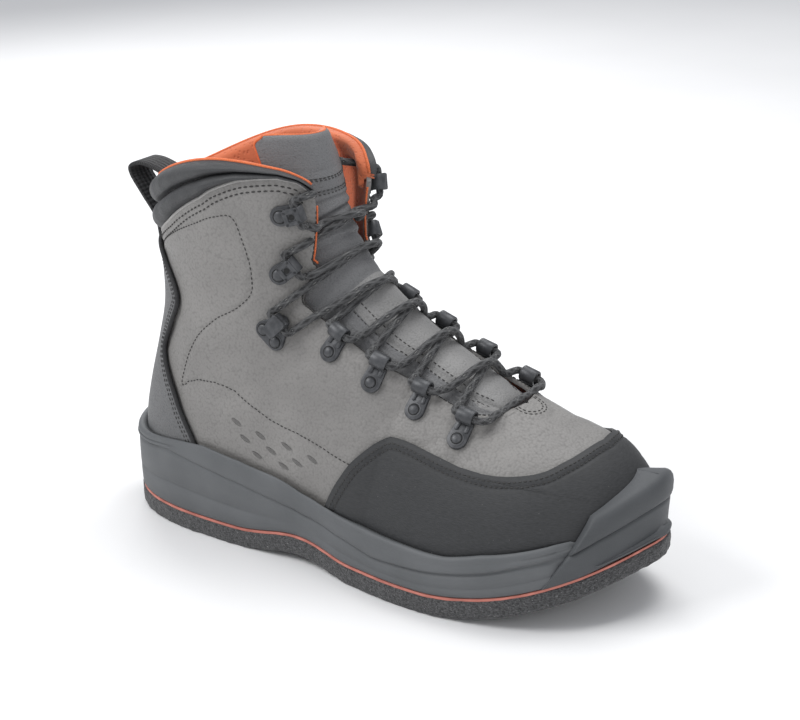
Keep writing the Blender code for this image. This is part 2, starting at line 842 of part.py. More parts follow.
def collar_mesh(name):
    """Padded ring above the quarters, with two rolls and a skirt inside the shaft."""
    rings = []
    steps = UPPER_COLUMNS
    for k in range(-steps, steps + 1):
        side = 0 if k < 0 else 1
        start = throat(side, 0.93)
        t = max(1 - (1 - start) * abs(k) / steps, start + 0.012)
        low = column(QUARTER_TOP, t)
        rise = 1.0 - low
        plump = np.clip(rise / 0.05, 0.15, 1)
        thick = COLLAR_THICKNESS * (0.55 + 0.45 * plump)
        skirt = 0.05 * plump + 0.012
        wall = UPPER_WALL + GAP * 3
        profile = [
            (low + 0.004, 0.0002),
            (low + rise * 0.26, COLLAR_ROLL * plump),
            (low + rise * 0.48, -0.0004),
            (low + rise * 0.72, COLLAR_ROLL * 0.8 * plump),
            (low + rise * 0.94, 0.0002),
            (1.0, -thick * 0.45),
            (low + rise * 0.90, -thick * 0.95),
            (low + rise * 0.50, -thick * 1.1),
            (low - skirt * 0.5, -thick),
            (low - skirt, -wall - 0.0012),
            (low - skirt * 0.9, -wall),
            (low + 0.004, -wall),
        ]
        rings.append([last_point(side, min(r, 1.0), t, grow) for r, grow in profile])
    return loop_mesh(name, rings)


def tongue_point(r, v, grow=0.0):
    """Outer surface of the tongue: r up the throat, v from -1 lateral to 1 medial."""
    side = 0 if v < 0 else 1
    foot = min(r, 1.0)
    half = throat(side, foot) + TONGUE_OVERLAP
    t = abs(v) * half
    edge = max(throat(side, foot), 0.02) / half
    sunk = -(UPPER_WALL + TONGUE_GAP * np.interp(foot, [THROAT_BASE, THROAT_BASE + TONGUE_RUN_IN], [2, 1]))
    swell = np.interp(foot, [THROAT_BASE + 0.008, THROAT_BASE + TONGUE_RUN_IN], [0, 1])
    crown = TONGUE_CROWN * swell * (1 - np.clip(abs(v) / (edge * 0.9), 0, 1) ** 2) ** 2
    point = last_point(side, foot, t, sunk + crown + grow)
    rise = max(r - 1.0, 0.0) / 0.2
    lean = np.interp(r, [0.66, 0.74, 0.86, 1.0, 1.2], [0, 0.20, 0.52, 0.76, 1.0])
    return point + np.array([-TONGUE_LEAN * lean, 0.0, TONGUE_RISE * rise])


def tongue_mesh(name):
    """Padded tongue from under the throat's base to above the collar."""
    rows = 18
    columns = 8
    low, high = THROAT_BASE - 0.012, 1.2
    rings = []
    for i in range(rows + 1):
        r = low + (high - low) * i / rows
        narrow = np.interp(r, [low, THROAT_BASE + 0.04, 0.9, 1.2], [0.7, 1.0, 0.9, 0.72])
        values = [narrow * (2 * j / columns - 1) for j in range(columns + 1)]
        outer = [tongue_point(r, v) for v in values]
        inner = [tongue_point(r, v, -TONGUE_THICKNESS * (1.0 if abs(v) < 0.9 * narrow else 0.45)) for v in values]
        rings.append(outer + inner[::-1])
    return loop_mesh(name, rings)


def pull_loop_mesh(name):
    """Webbing loop from under the collar over its top, standing off the back."""
    half = WEBBING_THICKNESS / 2
    foot = last_point(0, PULL_LOOP_FOOT, 1.0, OVERLAY + 2 * GAP + half)
    roll = last_point(0, column(QUARTER_TOP, 1.0) * 0.74 + 0.26, 1.0, COLLAR_ROLL + GAP + half)
    top = last_point(0, 1.0, 1.0)
    free = [(top[0] - back * PULL_LOOP_REACH, top[2] + up * PULL_LOOP_REACH) for back, up in PULL_LOOP]
    route = spline([(foot[0], foot[2]), (roll[0], roll[2]), *free], 3)
    rings = []
    for i, place in enumerate(route):
        run = route[min(i + 1, len(route) - 1)] - route[max(i - 1, 0)]
        normal = np.array([-run[1], run[0]]) / np.linalg.norm(run) * WEBBING_THICKNESS / 2
        half = WEBBING_WIDTH / 2
        rings.append([(place[0] + a * normal[0], b * half, place[1] + a * normal[1])
                      for a, b in ((1, -1), (1, 1), (-1, 1), (-1, -1))])
    return loop_mesh(name, rings)


def surface_frame(side, r, t):
    """Place on the last, outward normal, direction to the throat and direction up the row."""
    step = 0.004
    place = last_point(side, r, t)
    inward = last_point(side, r, t - step) - last_point(side, r, t + step)
    upward = last_point(side, r + step, t) - last_point(side, r - step, t)
    inward = Vector(inward).normalized()
    normal = inward.cross(Vector(upward)).normalized()
    if side == 1:
        normal = -normal
    if normal.y * (-1 if side == 0 else 1) < 0 and normal.z < 0:
        normal = -normal
    return Vector(place), normal, inward, normal.cross(inward).normalized()


def seat_rise(side, r, t, place, normal):
    """How far the upper rises over its tangent plane under a bracket."""
    around = [(r + dr, t + dt) for dr in (-0.016, 0, 0.016) for dt in (-0.05, 0, 0.02)]
    return max((Vector(last_point(side, *spot)) - place).dot(normal) for spot in around)


def bracket_profile(arm, sweep):
    """Middle line of a bracket: a flat arm that curls over into an eye."""
    points = [(-RIVET_RADIUS * 1.5, 0.0), (arm * ARM_MIDDLE, 0.0), (arm, 0.0)]
    steps = 6
    for k in range(1, steps + 1):
        angle = sweep * k / steps
        points.append((arm + EYE_RADIUS * sin(angle), EYE_RADIUS * (1 - cos(angle))))
    return points


def bracket_mesh(name, arm, sweep):
    """Strap plate with a curled eye at one end, before its rivet is added."""
    line = np.array(bracket_profile(arm, sweep))
    rings = []
    half = PLATE_WIDTH / 2
    for i, place in enumerate(line):
        run = line[min(i + 1, len(line) - 1)] - line[max(i - 1, 0)]
        normal = np.array([-run[1], run[0]]) / np.linalg.norm(run) * PLATE_THICKNESS / 2
        width = half * (0.72 if i in (0, len(line) - 1) else 1.0)
        rings.append([(place[0] + a * normal[0], b * width, place[1] + a * normal[1] + PLATE_THICKNESS / 2)
                      for a, b in ((1, -1), (1, 1), (-1, 1), (-1, -1))])
    return loop_mesh(name, rings)


def rivet_mesh(name):
    """Domed rivet head, sunk a little into the plate it holds."""
    bm = bmesh.new()
    bmesh.ops.create_cone(bm, cap_ends=True, segments=8, radius1=RIVET_RADIUS, radius2=RIVET_RADIUS * 0.55,
                          depth=PLATE_THICKNESS * 1.6,
                          matrix=Matrix.Translation((0, 0, PLATE_THICKNESS * 1.5)))
    return finish_mesh(name, bm)


def tube_mesh(name, route, radius, sides=6):
    """Round cord along a route of points."""
    rings = []
    over = Vector((0, 0, 1))
    for i, place in enumerate(route):
        run = (Vector(route[min(i + 1, len(route) - 1)]) - Vector(route[max(i - 1, 0)])).normalized()
        aside = run.cross(over).normalized()
        over = aside.cross(run)
        rings.append([Vector(place) + radius * (cos(2 * pi * k / sides) * aside + sin(2 * pi * k / sides) * over)
                      for k in range(sides)])
    return loop_mesh(name, rings)


def over_point(r, t, lift):
    """Place above the upper or the tongue; t is negative on the lateral side."""
    side = 0 if t < 0 else 1
    edge = throat(side, r)
    over_upper = np.clip((abs(t) / edge - 0.35) / 0.5, 0, 1)
    half = edge + TONGUE_OVERLAP
    high = last_point(side, r, abs(t), lift)
    low = np.array(tongue_point(r, t / half, lift))
    return high * over_upper + low * (1 - over_upper)


def eye_share(entry, side, along):
    """Where the lace leaves an eye: share toe to collar and signed share round."""
    r, t = entry[1 + 2 * side], entry[2 + 2 * side]
    step = 0.01
    around = np.linalg.norm(last_point(side, r, t + step) - last_point(side, r, t - step)) / (2 * step)
    arm = LOOP_ARM if entry[0].startswith("loop") else HOOK_ARM
    t -= (arm + EYE_RADIUS + PLATE_THICKNESS + LACE_RADIUS + LACE_CLEAR) / around
    upward = np.linalg.norm(last_point(side, r + step, t) - last_point(side, r - step, t)) / (2 * step)
    return r + along / upward, t * (-1 if side == 0 else 1)


def lace_route(start, end):
    """One pass of the lace between two places, close over the tongue."""
    ends = GAP + PLATE_THICKNESS / 2 + EYE_RADIUS
    middle = LACE_RADIUS + LACE_CLEAR
    steps = 7
    route = []
    for k in range(steps + 1):
        s = k / steps
        lift = middle + (ends - middle) * (2 * s - 1) ** 2
        route.append(over_point(start[0] + (end[0] - start[0]) * s, start[1] + (end[1] - start[1]) * s, lift))
    return route


def lace_strand(side):
    """Half of the lace, from side to side in front of the eyes, up to the top hook."""
    route = []
    for low, high in zip(HARDWARE, HARDWARE[1:]):
        route += lace_route(eye_share(low, side, LACE_STEP), eye_share(high, 1 - side, -LACE_STEP))
        side = 1 - side
    return route


def build():
    for thing in list(bpy.data.objects):
        bpy.data.objects.remove(thing)
    boot = bpy.data.objects.new("boot", None)
    bpy.context.collection.objects.link(boot)
    boot.location = (-HEEL_SEAT, 0, 0)

    felt = material("felt", (0.045, 0.045, 0.045), 0.95)
    bond = material("orange_bond", (0.60, 0.14, 0.09), 0.6)
    foam = material("moulded_foam", (0.085, 0.090, 0.095), 0.7)
    rubber = material("toe_rubber", (0.022, 0.022, 0.023), 0.6)
    leather = material("synthetic_leather", (0.16, 0.155, 0.15), 0.55)
    counter = material("counter_leather", (0.06, 0.06, 0.062), 0.5)
    padding = material("collar_padding", (0.07, 0.07, 0.073), 0.6)
    tongue = material("tongue_leather", (0.10, 0.10, 0.103), 0.6)
    lining = material("orange_lining", (0.62, 0.15, 0.05), 0.9)
    webbing = material("webbing", (0.02, 0.02, 0.021), 0.85)
    metal = material("coated_metal", (0.05, 0.05, 0.052), 0.4, 0.8)
    cord = material("lace_cord", (0.045, 0.045, 0.047), 0.8)

    add_object("felt_outsole", plate_mesh("felt_outsole", 0.0, tread_height, lambda x: tread_height(x) + FELT),
               boot, felt)
    add_object("bond_strip", plate_mesh("bond_strip", GAP, lambda x: tread_height(x) + FELT + GAP,
                                        lambda x: tread_height(x) + FELT + GAP + BOND), boot, bond)

    cup = add_object("cup_cutter", cavity_mesh("cup_cutter", cup_grow, GAP), boot)
    block = add_object("midsole_cutter", midsole_mesh("midsole_cutter", cup.data, GAP), boot)
    midsole = add_object("midsole", midsole_mesh("midsole", cup.data), boot, foam)
    boolean(midsole, cup, "DIFFERENCE")
    bumper = add_object("toe_bumper", bumper_mesh("toe_bumper"), boot, foam)
    boolean(bumper, cup, "DIFFERENCE")
    boolean(bumper, block, "DIFFERENCE")

    add_object("upper", shell_mesh("upper", 0.0, -UPPER_WALL), boot, leather)
    cap_cutter = add_object("cap_cutter", cap_cutter_mesh("cap_cutter"), boot)
    toe_cap = add_object("toe_cap", shell_mesh("toe_cap", GAP + OVERLAY, GAP), boot, rubber)
    boolean(toe_cap, cap_cutter, "INTERSECT")
    counter_cutter = add_object("counter_cutter", counter_cutter_mesh("counter_cutter"), boot)
    heel_counter = add_object("heel_counter", shell_mesh("heel_counter", GAP + OVERLAY, GAP), boot, counter)
    boolean(heel_counter, counter_cutter, "INTERSECT")

    add_object("collar", collar_mesh("collar"), boot, padding)
    add_object("tongue", tongue_mesh("tongue"), boot, tongue)
    add_object("insole", insole_mesh("insole"), boot, lining)
    add_object("pull_loop", pull_loop_mesh("pull_loop"), boot, webbing)

    for entry in HARDWARE:
        for side, place_name in ((0, "lateral"), (1, "medial")):
            name = f"{entry[0]}_{place_name}"
            is_loop = entry[0].startswith("loop")
            arm, sweep = (LOOP_ARM, 1.72 * pi) if is_loop else (HOOK_ARM, 1.15 * pi)
            place, normal, inward, upward = surface_frame(side, entry[1 + 2 * side], entry[2 + 2 * side])
            turn = Matrix((inward, normal.cross(inward), normal)).transposed()
            lift = 2 * GAP + seat_rise(side, entry[1 + 2 * side], entry[2 + 2 * side], place, normal)
            seat = Matrix.Translation(place + normal * lift) @ turn.to_4x4()
            bracket = add_object(name, bracket_mesh(name, arm, sweep), boot, metal)
            bracket.matrix_local = seat
            rivet = add_object(name + "_rivet", rivet_mesh(name + "_rivet"), boot)
            rivet.matrix_local = seat
            boolean(bracket, rivet, "UNION")

    first = HARDWARE[0]
    bar = lace_route(eye_share(first, 1, -LACE_STEP), eye_share(first, 0, -LACE_STEP))
    lace = add_object("lace", tube_mesh("lace", bar + lace_strand(0), LACE_RADIUS), boot, cord)
    other = add_object("lace_half", tube_mesh("lace_half", bar[:1] + lace_strand(1), LACE_RADIUS), boot)
    boolean(lace, other, "UNION")


build()
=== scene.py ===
# %% [markdown]
# # A wading boot, dressed over its CAD model
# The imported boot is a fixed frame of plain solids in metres. Here every solid gets
# the piece that the eye expects: pebbled leather with seams, a brushed rubber toe, a
# padded collar, a felt sole. The whole upper was designed over one last, so the same
# last is written here as a function, and each soft piece is a sheet laid on it.
# %% Load the frame
import json
from math import cos, exp, pi, radians, sin, sqrt

import bmesh
import bpy
import numpy as np
from mathutils import Matrix, Vector, noise
from mathutils.bvhtree import BVHTree

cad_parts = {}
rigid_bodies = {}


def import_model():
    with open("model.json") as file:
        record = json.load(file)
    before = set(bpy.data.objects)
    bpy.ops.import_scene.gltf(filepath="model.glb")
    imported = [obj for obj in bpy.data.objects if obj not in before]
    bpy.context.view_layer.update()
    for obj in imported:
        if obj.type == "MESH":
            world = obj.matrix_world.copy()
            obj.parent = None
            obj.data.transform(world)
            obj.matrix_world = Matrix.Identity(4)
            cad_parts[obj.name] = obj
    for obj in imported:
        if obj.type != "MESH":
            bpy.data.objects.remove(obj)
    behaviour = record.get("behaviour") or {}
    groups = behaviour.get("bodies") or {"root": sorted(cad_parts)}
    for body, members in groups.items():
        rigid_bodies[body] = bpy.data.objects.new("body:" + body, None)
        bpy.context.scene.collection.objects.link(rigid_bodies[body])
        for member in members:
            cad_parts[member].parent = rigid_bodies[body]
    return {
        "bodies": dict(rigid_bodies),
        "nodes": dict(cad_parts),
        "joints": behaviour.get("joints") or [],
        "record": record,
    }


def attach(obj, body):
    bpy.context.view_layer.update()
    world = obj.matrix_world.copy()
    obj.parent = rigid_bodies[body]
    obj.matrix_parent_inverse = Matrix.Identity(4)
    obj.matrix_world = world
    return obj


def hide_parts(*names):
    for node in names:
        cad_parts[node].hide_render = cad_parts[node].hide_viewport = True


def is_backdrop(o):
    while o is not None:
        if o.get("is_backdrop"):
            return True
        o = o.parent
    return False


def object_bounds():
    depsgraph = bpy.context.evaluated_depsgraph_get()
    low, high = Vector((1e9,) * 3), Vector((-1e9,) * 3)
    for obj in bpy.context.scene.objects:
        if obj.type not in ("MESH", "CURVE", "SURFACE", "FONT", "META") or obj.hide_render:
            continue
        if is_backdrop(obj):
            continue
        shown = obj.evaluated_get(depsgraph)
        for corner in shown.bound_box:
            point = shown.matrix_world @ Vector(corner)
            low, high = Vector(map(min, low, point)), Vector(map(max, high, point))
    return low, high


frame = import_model()
CAD_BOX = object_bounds()
print("CAD box", CAD_BOX)

# %% [markdown]
# ## Camera
# The camera was solved from the photograph: its angle round the boot, its height, a
# slight roll and its distance. The long lens keeps the perspective of a catalogue shot,
# and a small shift frames the boot as the photograph does.
# %% Place the camera
AZIMUTH, ELEVATION, ROLL = radians(36.6949), radians(21.3562), radians(-2.7653)
DISTANCE = exp(6.8926) / 1000
PIXELS_PER_MM = 1.9398
CENTRE_X, CENTRE_Y = 364.12, 396.04
TARGET = Vector((0.086, 0.0, 0.080))

back = Vector((sin(AZIMUTH) * cos(ELEVATION), -cos(AZIMUTH) * cos(ELEVATION), sin(ELEVATION)))
right = Vector((cos(AZIMUTH), sin(AZIMUTH), 0))
up = back.cross(right)
rolled_right = right * cos(ROLL) + up * sin(ROLL)
rolled_up = up * cos(ROLL) - right * sin(ROLL)
turn = Matrix((rolled_right, rolled_up, back)).transposed()
camera = bpy.data.objects.new("camera", bpy.data.cameras.new("camera"))
bpy.context.collection.objects.link(camera)
camera.matrix_world = Matrix.Translation(TARGET + back * DISTANCE) @ turn.to_4x4()
camera.data.lens = PIXELS_PER_MM * DISTANCE * 1000 * 36 / 800
camera.data.shift_x = (400 - CENTRE_X) / 800
camera.data.shift_y = (CENTRE_Y - 360) / 800
bpy.context.scene.camera = camera
print("lens", round(camera.data.lens, 1), "mm at", round(DISTANCE, 3), "m")

# %% [markdown]
# ## The last
# A shoe is made round a last. Its sections run from the toe to the collar, and each is
# a rounded arc from the middle of the front down to the edge of the sole. The table
# repeats the CAD's own numbers, because a scene may not read the CAD's source. A place
# is found from a side, a share r from toe to collar and a share t round the section.
# %% Sizes and sections of the last
SOLE_LENGTH, BALL_WIDTH, SHAFT_HEIGHT, HEEL_SEAT = 0.318, 0.1135, 0.200, 0.064
GAP, FELT, BOND, UPPER_WALL, OVERLAY = 0.0003, 0.0095, 0.0012, 0.0024, 0.0014
FEATHER_INSET, MIDSOLE_HEIGHT = 0.0060, 0.056

SOLE_OUTLINE = [
    (1.000, -0.080, 0.080), (0.985, 0.053, 0.225), (0.960, 0.200, 0.300),
    (0.920, 0.335, 0.375), (0.850, 0.458, 0.440), (0.750, 0.515, 0.485),
    (0.650, 0.515, 0.467), (0.550, 0.470, 0.415), (0.450, 0.412, 0.368),
    (0.350, 0.405, 0.362), (0.250, 0.400, 0.370), (0.150, 0.370, 0.362),
    (0.080, 0.305, 0.305), (0.030, 0.198, 0.198), (0.000, 0.000, 0.000),
]
MIDSOLE_SIDE = [
    (0.000, 0.68, 0.80), (0.080, 0.73, 0.84), (0.150, 0.78, 0.90), (0.190, 0.76, 0.93),
    (0.240, 0.72, 0.955), (0.320, 0.65, 0.90), (0.400, 0.48, 0.76), (0.445, 0.43, 0.67),
    (0.490, 0.44, 0.65), (0.540, 0.43, 0.645), (0.600, 0.37, 0.62), (0.670, 0.39, 0.60),
    (0.740, 0.41, 0.575), (0.800, 0.42, 0.60), (0.860, 0.445, 0.585), (0.925, 0.43, 0.565),
    (0.950, 0.30, 0.440), (1.000, 0.30, 0.430),
]
LAST = [
    (0.976, 0.240, 0.079, 0.000, 0.000, 0.000, 1.00, 1.00, 0.000),
    (0.970, 0.284, 0.079, 0.040, 0.100, 0.112, 1.00, 1.00, 0.000),
    (0.956, 0.322, 0.075, 0.085, 0.205, 0.190, 0.95, 0.95, 0.000),
    (0.931, 0.366, 0.070, 0.135, 0.305, 0.272, 0.92, 0.92, 0.000),
    (0.893, 0.402, 0.062, 0.190, 0.385, 0.338, 0.92, 0.92, 0.000),
    (0.843, 0.428, 0.053, 0.250, 0.445, 0.384, 0.94, 0.94, 0.000),
    (0.780, 0.458, 0.044, 0.310, 0.480, 0.419, 0.97, 0.97, 0.000),
    (0.717, 0.500, 0.035, 0.370, 0.480, 0.423, 1.00, 1.00, 0.000),
    (0.654, 0.558, 0.026, 0.435, 0.458, 0.401, 1.00, 1.00, 0.000),
    (0.594, 0.615, 0.018, 0.510, 0.432, 0.370, 1.00, 1.00, 0.000),
    (0.544, 0.678, 0.009, 0.600, 0.405, 0.355, 1.00, 1.00, 0.000),
    (0.505, 0.745, 0.000, 0.720, 0.383, 0.350, 1.00, 1.02, 0.005),
    (0.484, 0.810, 0.000, 0.880, 0.368, 0.348, 0.97, 1.05, 0.010),
    (0.476, 0.870, 0.000, 1.120, 0.361, 0.352, 0.94, 1.10, 0.020),
    (0.476, 0.920, 0.000, 1.450, 0.361, 0.357, 0.92, 1.12, 0.040),
    (0.480, 0.955, 0.000, 1.680, 0.361, 0.357, 0.90, 1.12, 0.060),
    (0.483, 0.980, 0.000, 1.840, 0.366, 0.361, 0.90, 1.08, 0.070),
    (0.484, 0.995, 0.000, 2.000, 0.370, 0.366, 0.90, 1.05, 0.080),
]
BACK_SEAM = [
    (0.024, 0.225), (0.041, 0.325), (0.068, 0.450), (0.088, 0.560),
    (0.091, 0.675), (0.088, 0.775), (0.085, 0.860), (0.085, 0.920),
]
THROAT_BASE = 0.362
THROAT = [
    (0.362, 0.000), (0.372, 0.150), (0.388, 0.220), (0.410, 0.262), (0.480, 0.305),
    (0.550, 0.318), (0.620, 0.335), (0.670, 0.350), (0.690, 0.345), (0.706, 0.290),
    (0.726, 0.205), (0.775, 0.178), (1.000, 0.185),
]
QUARTER_TOP = [
    (0.160, 0.905), (0.200, 0.928), (0.240, 0.962), (0.300, 0.972),
    (0.420, 0.957), (0.540, 0.936), (0.700, 0.927), (1.000, 0.928),
]
CAP_EDGE = [
    (0.000, 0.230), (0.200, 0.240), (0.300, 0.252), (0.410, 0.276), (0.485, 0.325),
    (0.508, 0.370), (0.520, 0.430), (0.557, 0.485), (0.670, 0.522), (0.780, 0.538),
    (0.900, 0.548), (1.000, 0.552),
]
COUNTER_EDGE = [
    (0.085, 0.775), (0.135, 0.735), (0.172, 0.690), (0.190, 0.648), (0.168, 0.575),
    (0.145, 0.500), (0.160, 0.430), (0.192, 0.330), (0.213, 0.270), (0.235, 0.180),
]
print(len(LAST), "sections on a last", SOLE_LENGTH * 1000, "mm long")


# %% [markdown]
# ### Curves
# A spline could be a curve object read back after evaluation. A short function gives the
# same points at once, and as arrays, which the last needs by the thousand.
# %% Curves and the sole's outline
def spline(points, samples, closed=False):
    """Centripetal Catmull-Rom curve through the points."""
    p = np.asarray(points, float)
    spans = len(p) if closed else len(p) - 1
    p = np.vstack([p[-1], p, p[0], p[1]] if closed else [2 * p[0] - p[1], p, 2 * p[-1] - p[-2]])
    out = []
    for i in range(spans):
        p0, p1, p2, p3 = p[i:i + 4]
        t1 = sqrt(np.linalg.norm(p1 - p0))
        t2 = t1 + sqrt(np.linalg.norm(p2 - p1))
        t3 = t2 + sqrt(np.linalg.norm(p3 - p2))
        t = np.linspace(t1, t2, samples, endpoint=False)[:, None]
        a1 = (t1 - t) / t1 * p0 + t / t1 * p1
        a2 = (t2 - t) / (t2 - t1) * p1 + (t - t1) / (t2 - t1) * p2
        a3 = (t3 - t) / (t3 - t2) * p2 + (t - t2) / (t3 - t2) * p3
        b1 = (t2 - t) / t2 * a1 + t / t2 * a2
        b2 = (t3 - t) / (t3 - t1) * a2 + (t - t1) / (t3 - t1) * a3
        out.extend((t2 - t) / (t2 - t1) * b1 + (t - t1) / (t2 - t1) * b2)
    if not closed:
        out.append(p[-2])
    return np.array(out)


def read(table, key, value=1):
    """Linear reading of one column of a table against its first column."""
    rows = np.asarray(table)
    return np.interp(key, rows[:, 0], rows[:, value])


def blend(low, high, value):
    """0 below low, 1 above high, smooth between."""
    s = np.clip((value - low) / (high - low), 0, 1)
    return s * s * (3 - 2 * s)


def arc_shares(line):
    steps = np.concatenate([[0], np.cumsum(np.linalg.norm(np.diff(line, axis=0), axis=1))])
    return steps / steps[-1]


def unit(vectors):
    return vectors / np.maximum(np.linalg.norm(vectors, axis=-1, keepdims=True), 1e-12)


lateral = [(x * SOLE_LENGTH, -reach * BALL_WIDTH) for x, reach, _ in SOLE_OUTLINE]
medial = [(x * SOLE_LENGTH, reach * BALL_WIDTH) for x, _, reach in SOLE_OUTLINE]
ring = spline(lateral + medial[::-1][1:-1], 16, closed=True)
half_way = 16 * (len(lateral) - 1)
HALVES = [ring[:half_way + 1], np.vstack([ring[half_way:], ring[:1]])[::-1]]
ARCS = [arc_shares(half) for half in HALVES]


def outline(side, q, inset=0.0):
    """Points of the sole's outline at shares q from toe to heel, moved inwards."""
    q = np.asarray(q, float)
    at = lambda s: np.stack([np.interp(np.clip(s, 0, 1), ARCS[side], HALVES[side][:, k]) for k in (0, 1)], -1)
    along = unit(at(q + 0.004) - at(q - 0.004))
    inward = np.stack([along[..., 1], -along[..., 0]], -1) * (1 if side == 0 else -1)
    inward = np.where((q <= 0)[..., None], (-1.0, 0.0), np.where((q >= 1)[..., None], (1.0, 0.0), inward))
    return at(q) + inward * np.asarray(inset)[..., None]


def share_at(side, x_share):
    """Share q of the outline where it passes a share of the sole's length."""
    return np.interp(-x_share * SOLE_LENGTH, -HALVES[side][:, 0], ARCS[side])


def tread_height(x):
    """Height of the felt's underside above the floor."""
    s = np.asarray(x) / SOLE_LENGTH
    arch = 0.0045 * np.cos(pi / 2 * np.clip((s - 0.425) / 0.125, -1, 1)) ** 2
    toe = 0.026 * np.maximum((s - 0.69) / 0.31, 0.0) ** 1.75
    return arch + toe + 0.003 * np.clip((0.07 - s) / 0.07, 0, 1) ** 2


def feather_height(x):
    """Height of the line where the upper meets the midsole's platform."""
    return tread_height(x) + np.interp(np.asarray(x) / SOLE_LENGTH, [0, 0.35, 0.6], [0.026, 0.026, 0.020])


print("outline", round(float(ARCS[0][-1]), 2), "lateral points", len(HALVES[0]))

# %% [markdown]
# ### The last
# The last answers one question: where is the point at a share from toe to collar and a
# share from the front centre to the feather line. A sculpted mesh would need projecting
# at every step. A function lets leather, stitches and lace share one coordinate system.
# %% The last as a function
SECTIONS = np.array(LAST)
SECTIONS[:, 0] *= SOLE_LENGTH
SECTIONS[:, [1, 8]] *= SHAFT_HEIGHT
SECTIONS[:, [2, 4, 5]] *= BALL_WIDTH
SPANS = len(SECTIONS) - 1
BACK = spline([(FEATHER_INSET, feather_height(FEATHER_INSET))]
              + [(x * SOLE_LENGTH, z * SHAFT_HEIGHT) for x, z in BACK_SEAM], 12)
BACK_ARCS = arc_shares(BACK)


def section(u):
    """Rows of the last at parameters u, smooth between the table's rows."""
    u = np.clip(u, 0, SPANS)
    i = np.clip(np.floor(u).astype(int), 0, SPANS - 1)
    t = (u - i)[..., None]
    p1, p2 = SECTIONS[i], SECTIONS[i + 1]
    p0 = np.where((i > 0)[..., None], SECTIONS[np.maximum(i - 1, 0)], 2 * p1 - p2)
    p3 = np.where((i + 2 <= SPANS)[..., None], SECTIONS[np.minimum(i + 2, SPANS)], 2 * p2 - p1)
    return 0.5 * (2 * p1 + (p2 - p0) * t + (2 * p0 - 5 * p1 + 4 * p2 - p3) * t * t
                  + (3 * p1 - p0 - 3 * p2 + p3) * t ** 3)


def on_last(side, r, t, grow=0.0):
    """Points of the last for arrays of r and t, grown along each section's plane."""
    r, t, grow = np.broadcast_arrays(*(np.asarray(v, float) for v in (r, t, grow)))
    u = r * SPANS
    row = section(u)
    run = section(u + 0.05) - section(u - 0.05)
    tilt = unit(np.stack([run[..., 1], -run[..., 0]], -1))
    front_x, front_z = row[..., 0] + tilt[..., 0] * grow, row[..., 1] + tilt[..., 1] * grow
    q = row[..., 3]
    foot = outline(side, np.clip(q, 0, 1), FEATHER_INSET - grow)
    s = np.clip(q - 1, 0, 1)
    seam, ahead, behind = (np.stack([np.interp(np.clip(s + d, 0, 1), BACK_ARCS, BACK[:, k])
                                     for k in (0, 1)], -1)
                           for d in (0, 0.01, -0.01))
    lean = unit(ahead - behind)
    on_foot = q <= 1
    back_x = np.where(on_foot, foot[..., 0], seam[..., 0] - lean[..., 1] * grow)
    back_y = np.where(on_foot, foot[..., 1], 0.0)
    back_z = np.where(on_foot, feather_height(foot[..., 0]), seam[..., 1] + lean[..., 0] * grow)
    sign = -1 if side == 0 else 1
    reach = sign * (back_y - row[..., 2])
    width = np.maximum(row[..., 4 + side] + grow, np.abs(reach) * 1.002)
    width = np.where(u < 1e-9, np.maximum(np.abs(reach), 1e-6), width)
    front_power, back_power = row[..., 6], row[..., 7]
    sweep = pi - np.arcsin(np.minimum(1, np.maximum(reach, 0) / width) ** (1 / back_power))
    angle = t * sweep
    power = np.where(np.cos(angle) > 0, front_power, back_power)
    forward = np.sign(np.cos(angle)) * np.abs(np.cos(angle)) ** power
    aside = np.abs(np.sin(angle)) ** power
    depth = (1 - forward) / (1 + np.abs(np.cos(sweep)) ** back_power)
    x = front_x + (back_x - front_x) * depth
    z = front_z + (back_z - front_z) * depth + row[..., 8] * np.sin(pi * depth)
    return np.stack([x - HEEL_SEAT, row[..., 2] + sign * width * aside, z], -1)


def outward(side, r, t):
    """Outward directions of the last at arrays of r and t."""
    r, t = np.clip(r, 0.004, 0.996), np.clip(t, 0.004, 0.996)
    along = on_last(side, r + 0.004, t) - on_last(side, r - 0.004, t)
    around = on_last(side, r, t + 0.004) - on_last(side, r, t - 0.004)
    return unit(np.cross(along, around)) * (1 if side == 0 else -1)


def lifted(side, r, t, lift):
    """Places over the last, lift metres out from its surface."""
    return on_last(side, r, t) + outward(side, r, t) * np.asarray(lift)[..., None]


check = outward(0, np.array([0.5]), np.array([0.7]))[0]
if check[1] > 0:
    raise ValueError("the last's outward direction points in")
smooth_throat = spline(THROAT, 8)
smooth_cap = spline(CAP_EDGE, 8)
TOP_ROW = float(read(QUARTER_TOP, 1.0))


def throat(side, r):
    return np.interp(r, smooth_throat[:, 0], smooth_throat[:, 1]) * (1 if side == 0 else 0.92)


CORNER_START = float(throat(0, 0.93))


def rounded(t, spread):
    """1 at the throat's edge and 0 past the rounded front corner."""
    share = np.clip((t - CORNER_START) / spread, 0, 1)
    return 1 - np.sqrt(1 - (1 - share) ** 2)


def top_row(t):
    """Row of the quarter's top line, rounded off at its front corner."""
    return read(QUARTER_TOP, t) - 0.038 * rounded(t, 0.085)


def bent_row(r, t):
    """Rows near the top bend with the top line of the quarters."""
    share = np.clip((r - 0.80) / (TOP_ROW - 0.80), 0, 1)
    return r + (top_row(t) - TOP_ROW) * share


print("ball of the last at", on_last(0, 0.45, 0.7).round(3))

# %% [markdown]
# ## Finishes
# Each finish is a small node tree on Object coordinates, so a pattern has its real size
# in metres and stays put when the piece is exported. One class wraps a socket, so that
# shader maths reads as ordinary arithmetic; another builds a whole finish.
# %% Sockets as numbers
def feed(tree, slot, value):
    """Link or set one input of a node."""
    if isinstance(value, Wire):
        tree.links.new(value.socket, slot)
    else:
        slot.default_value = value


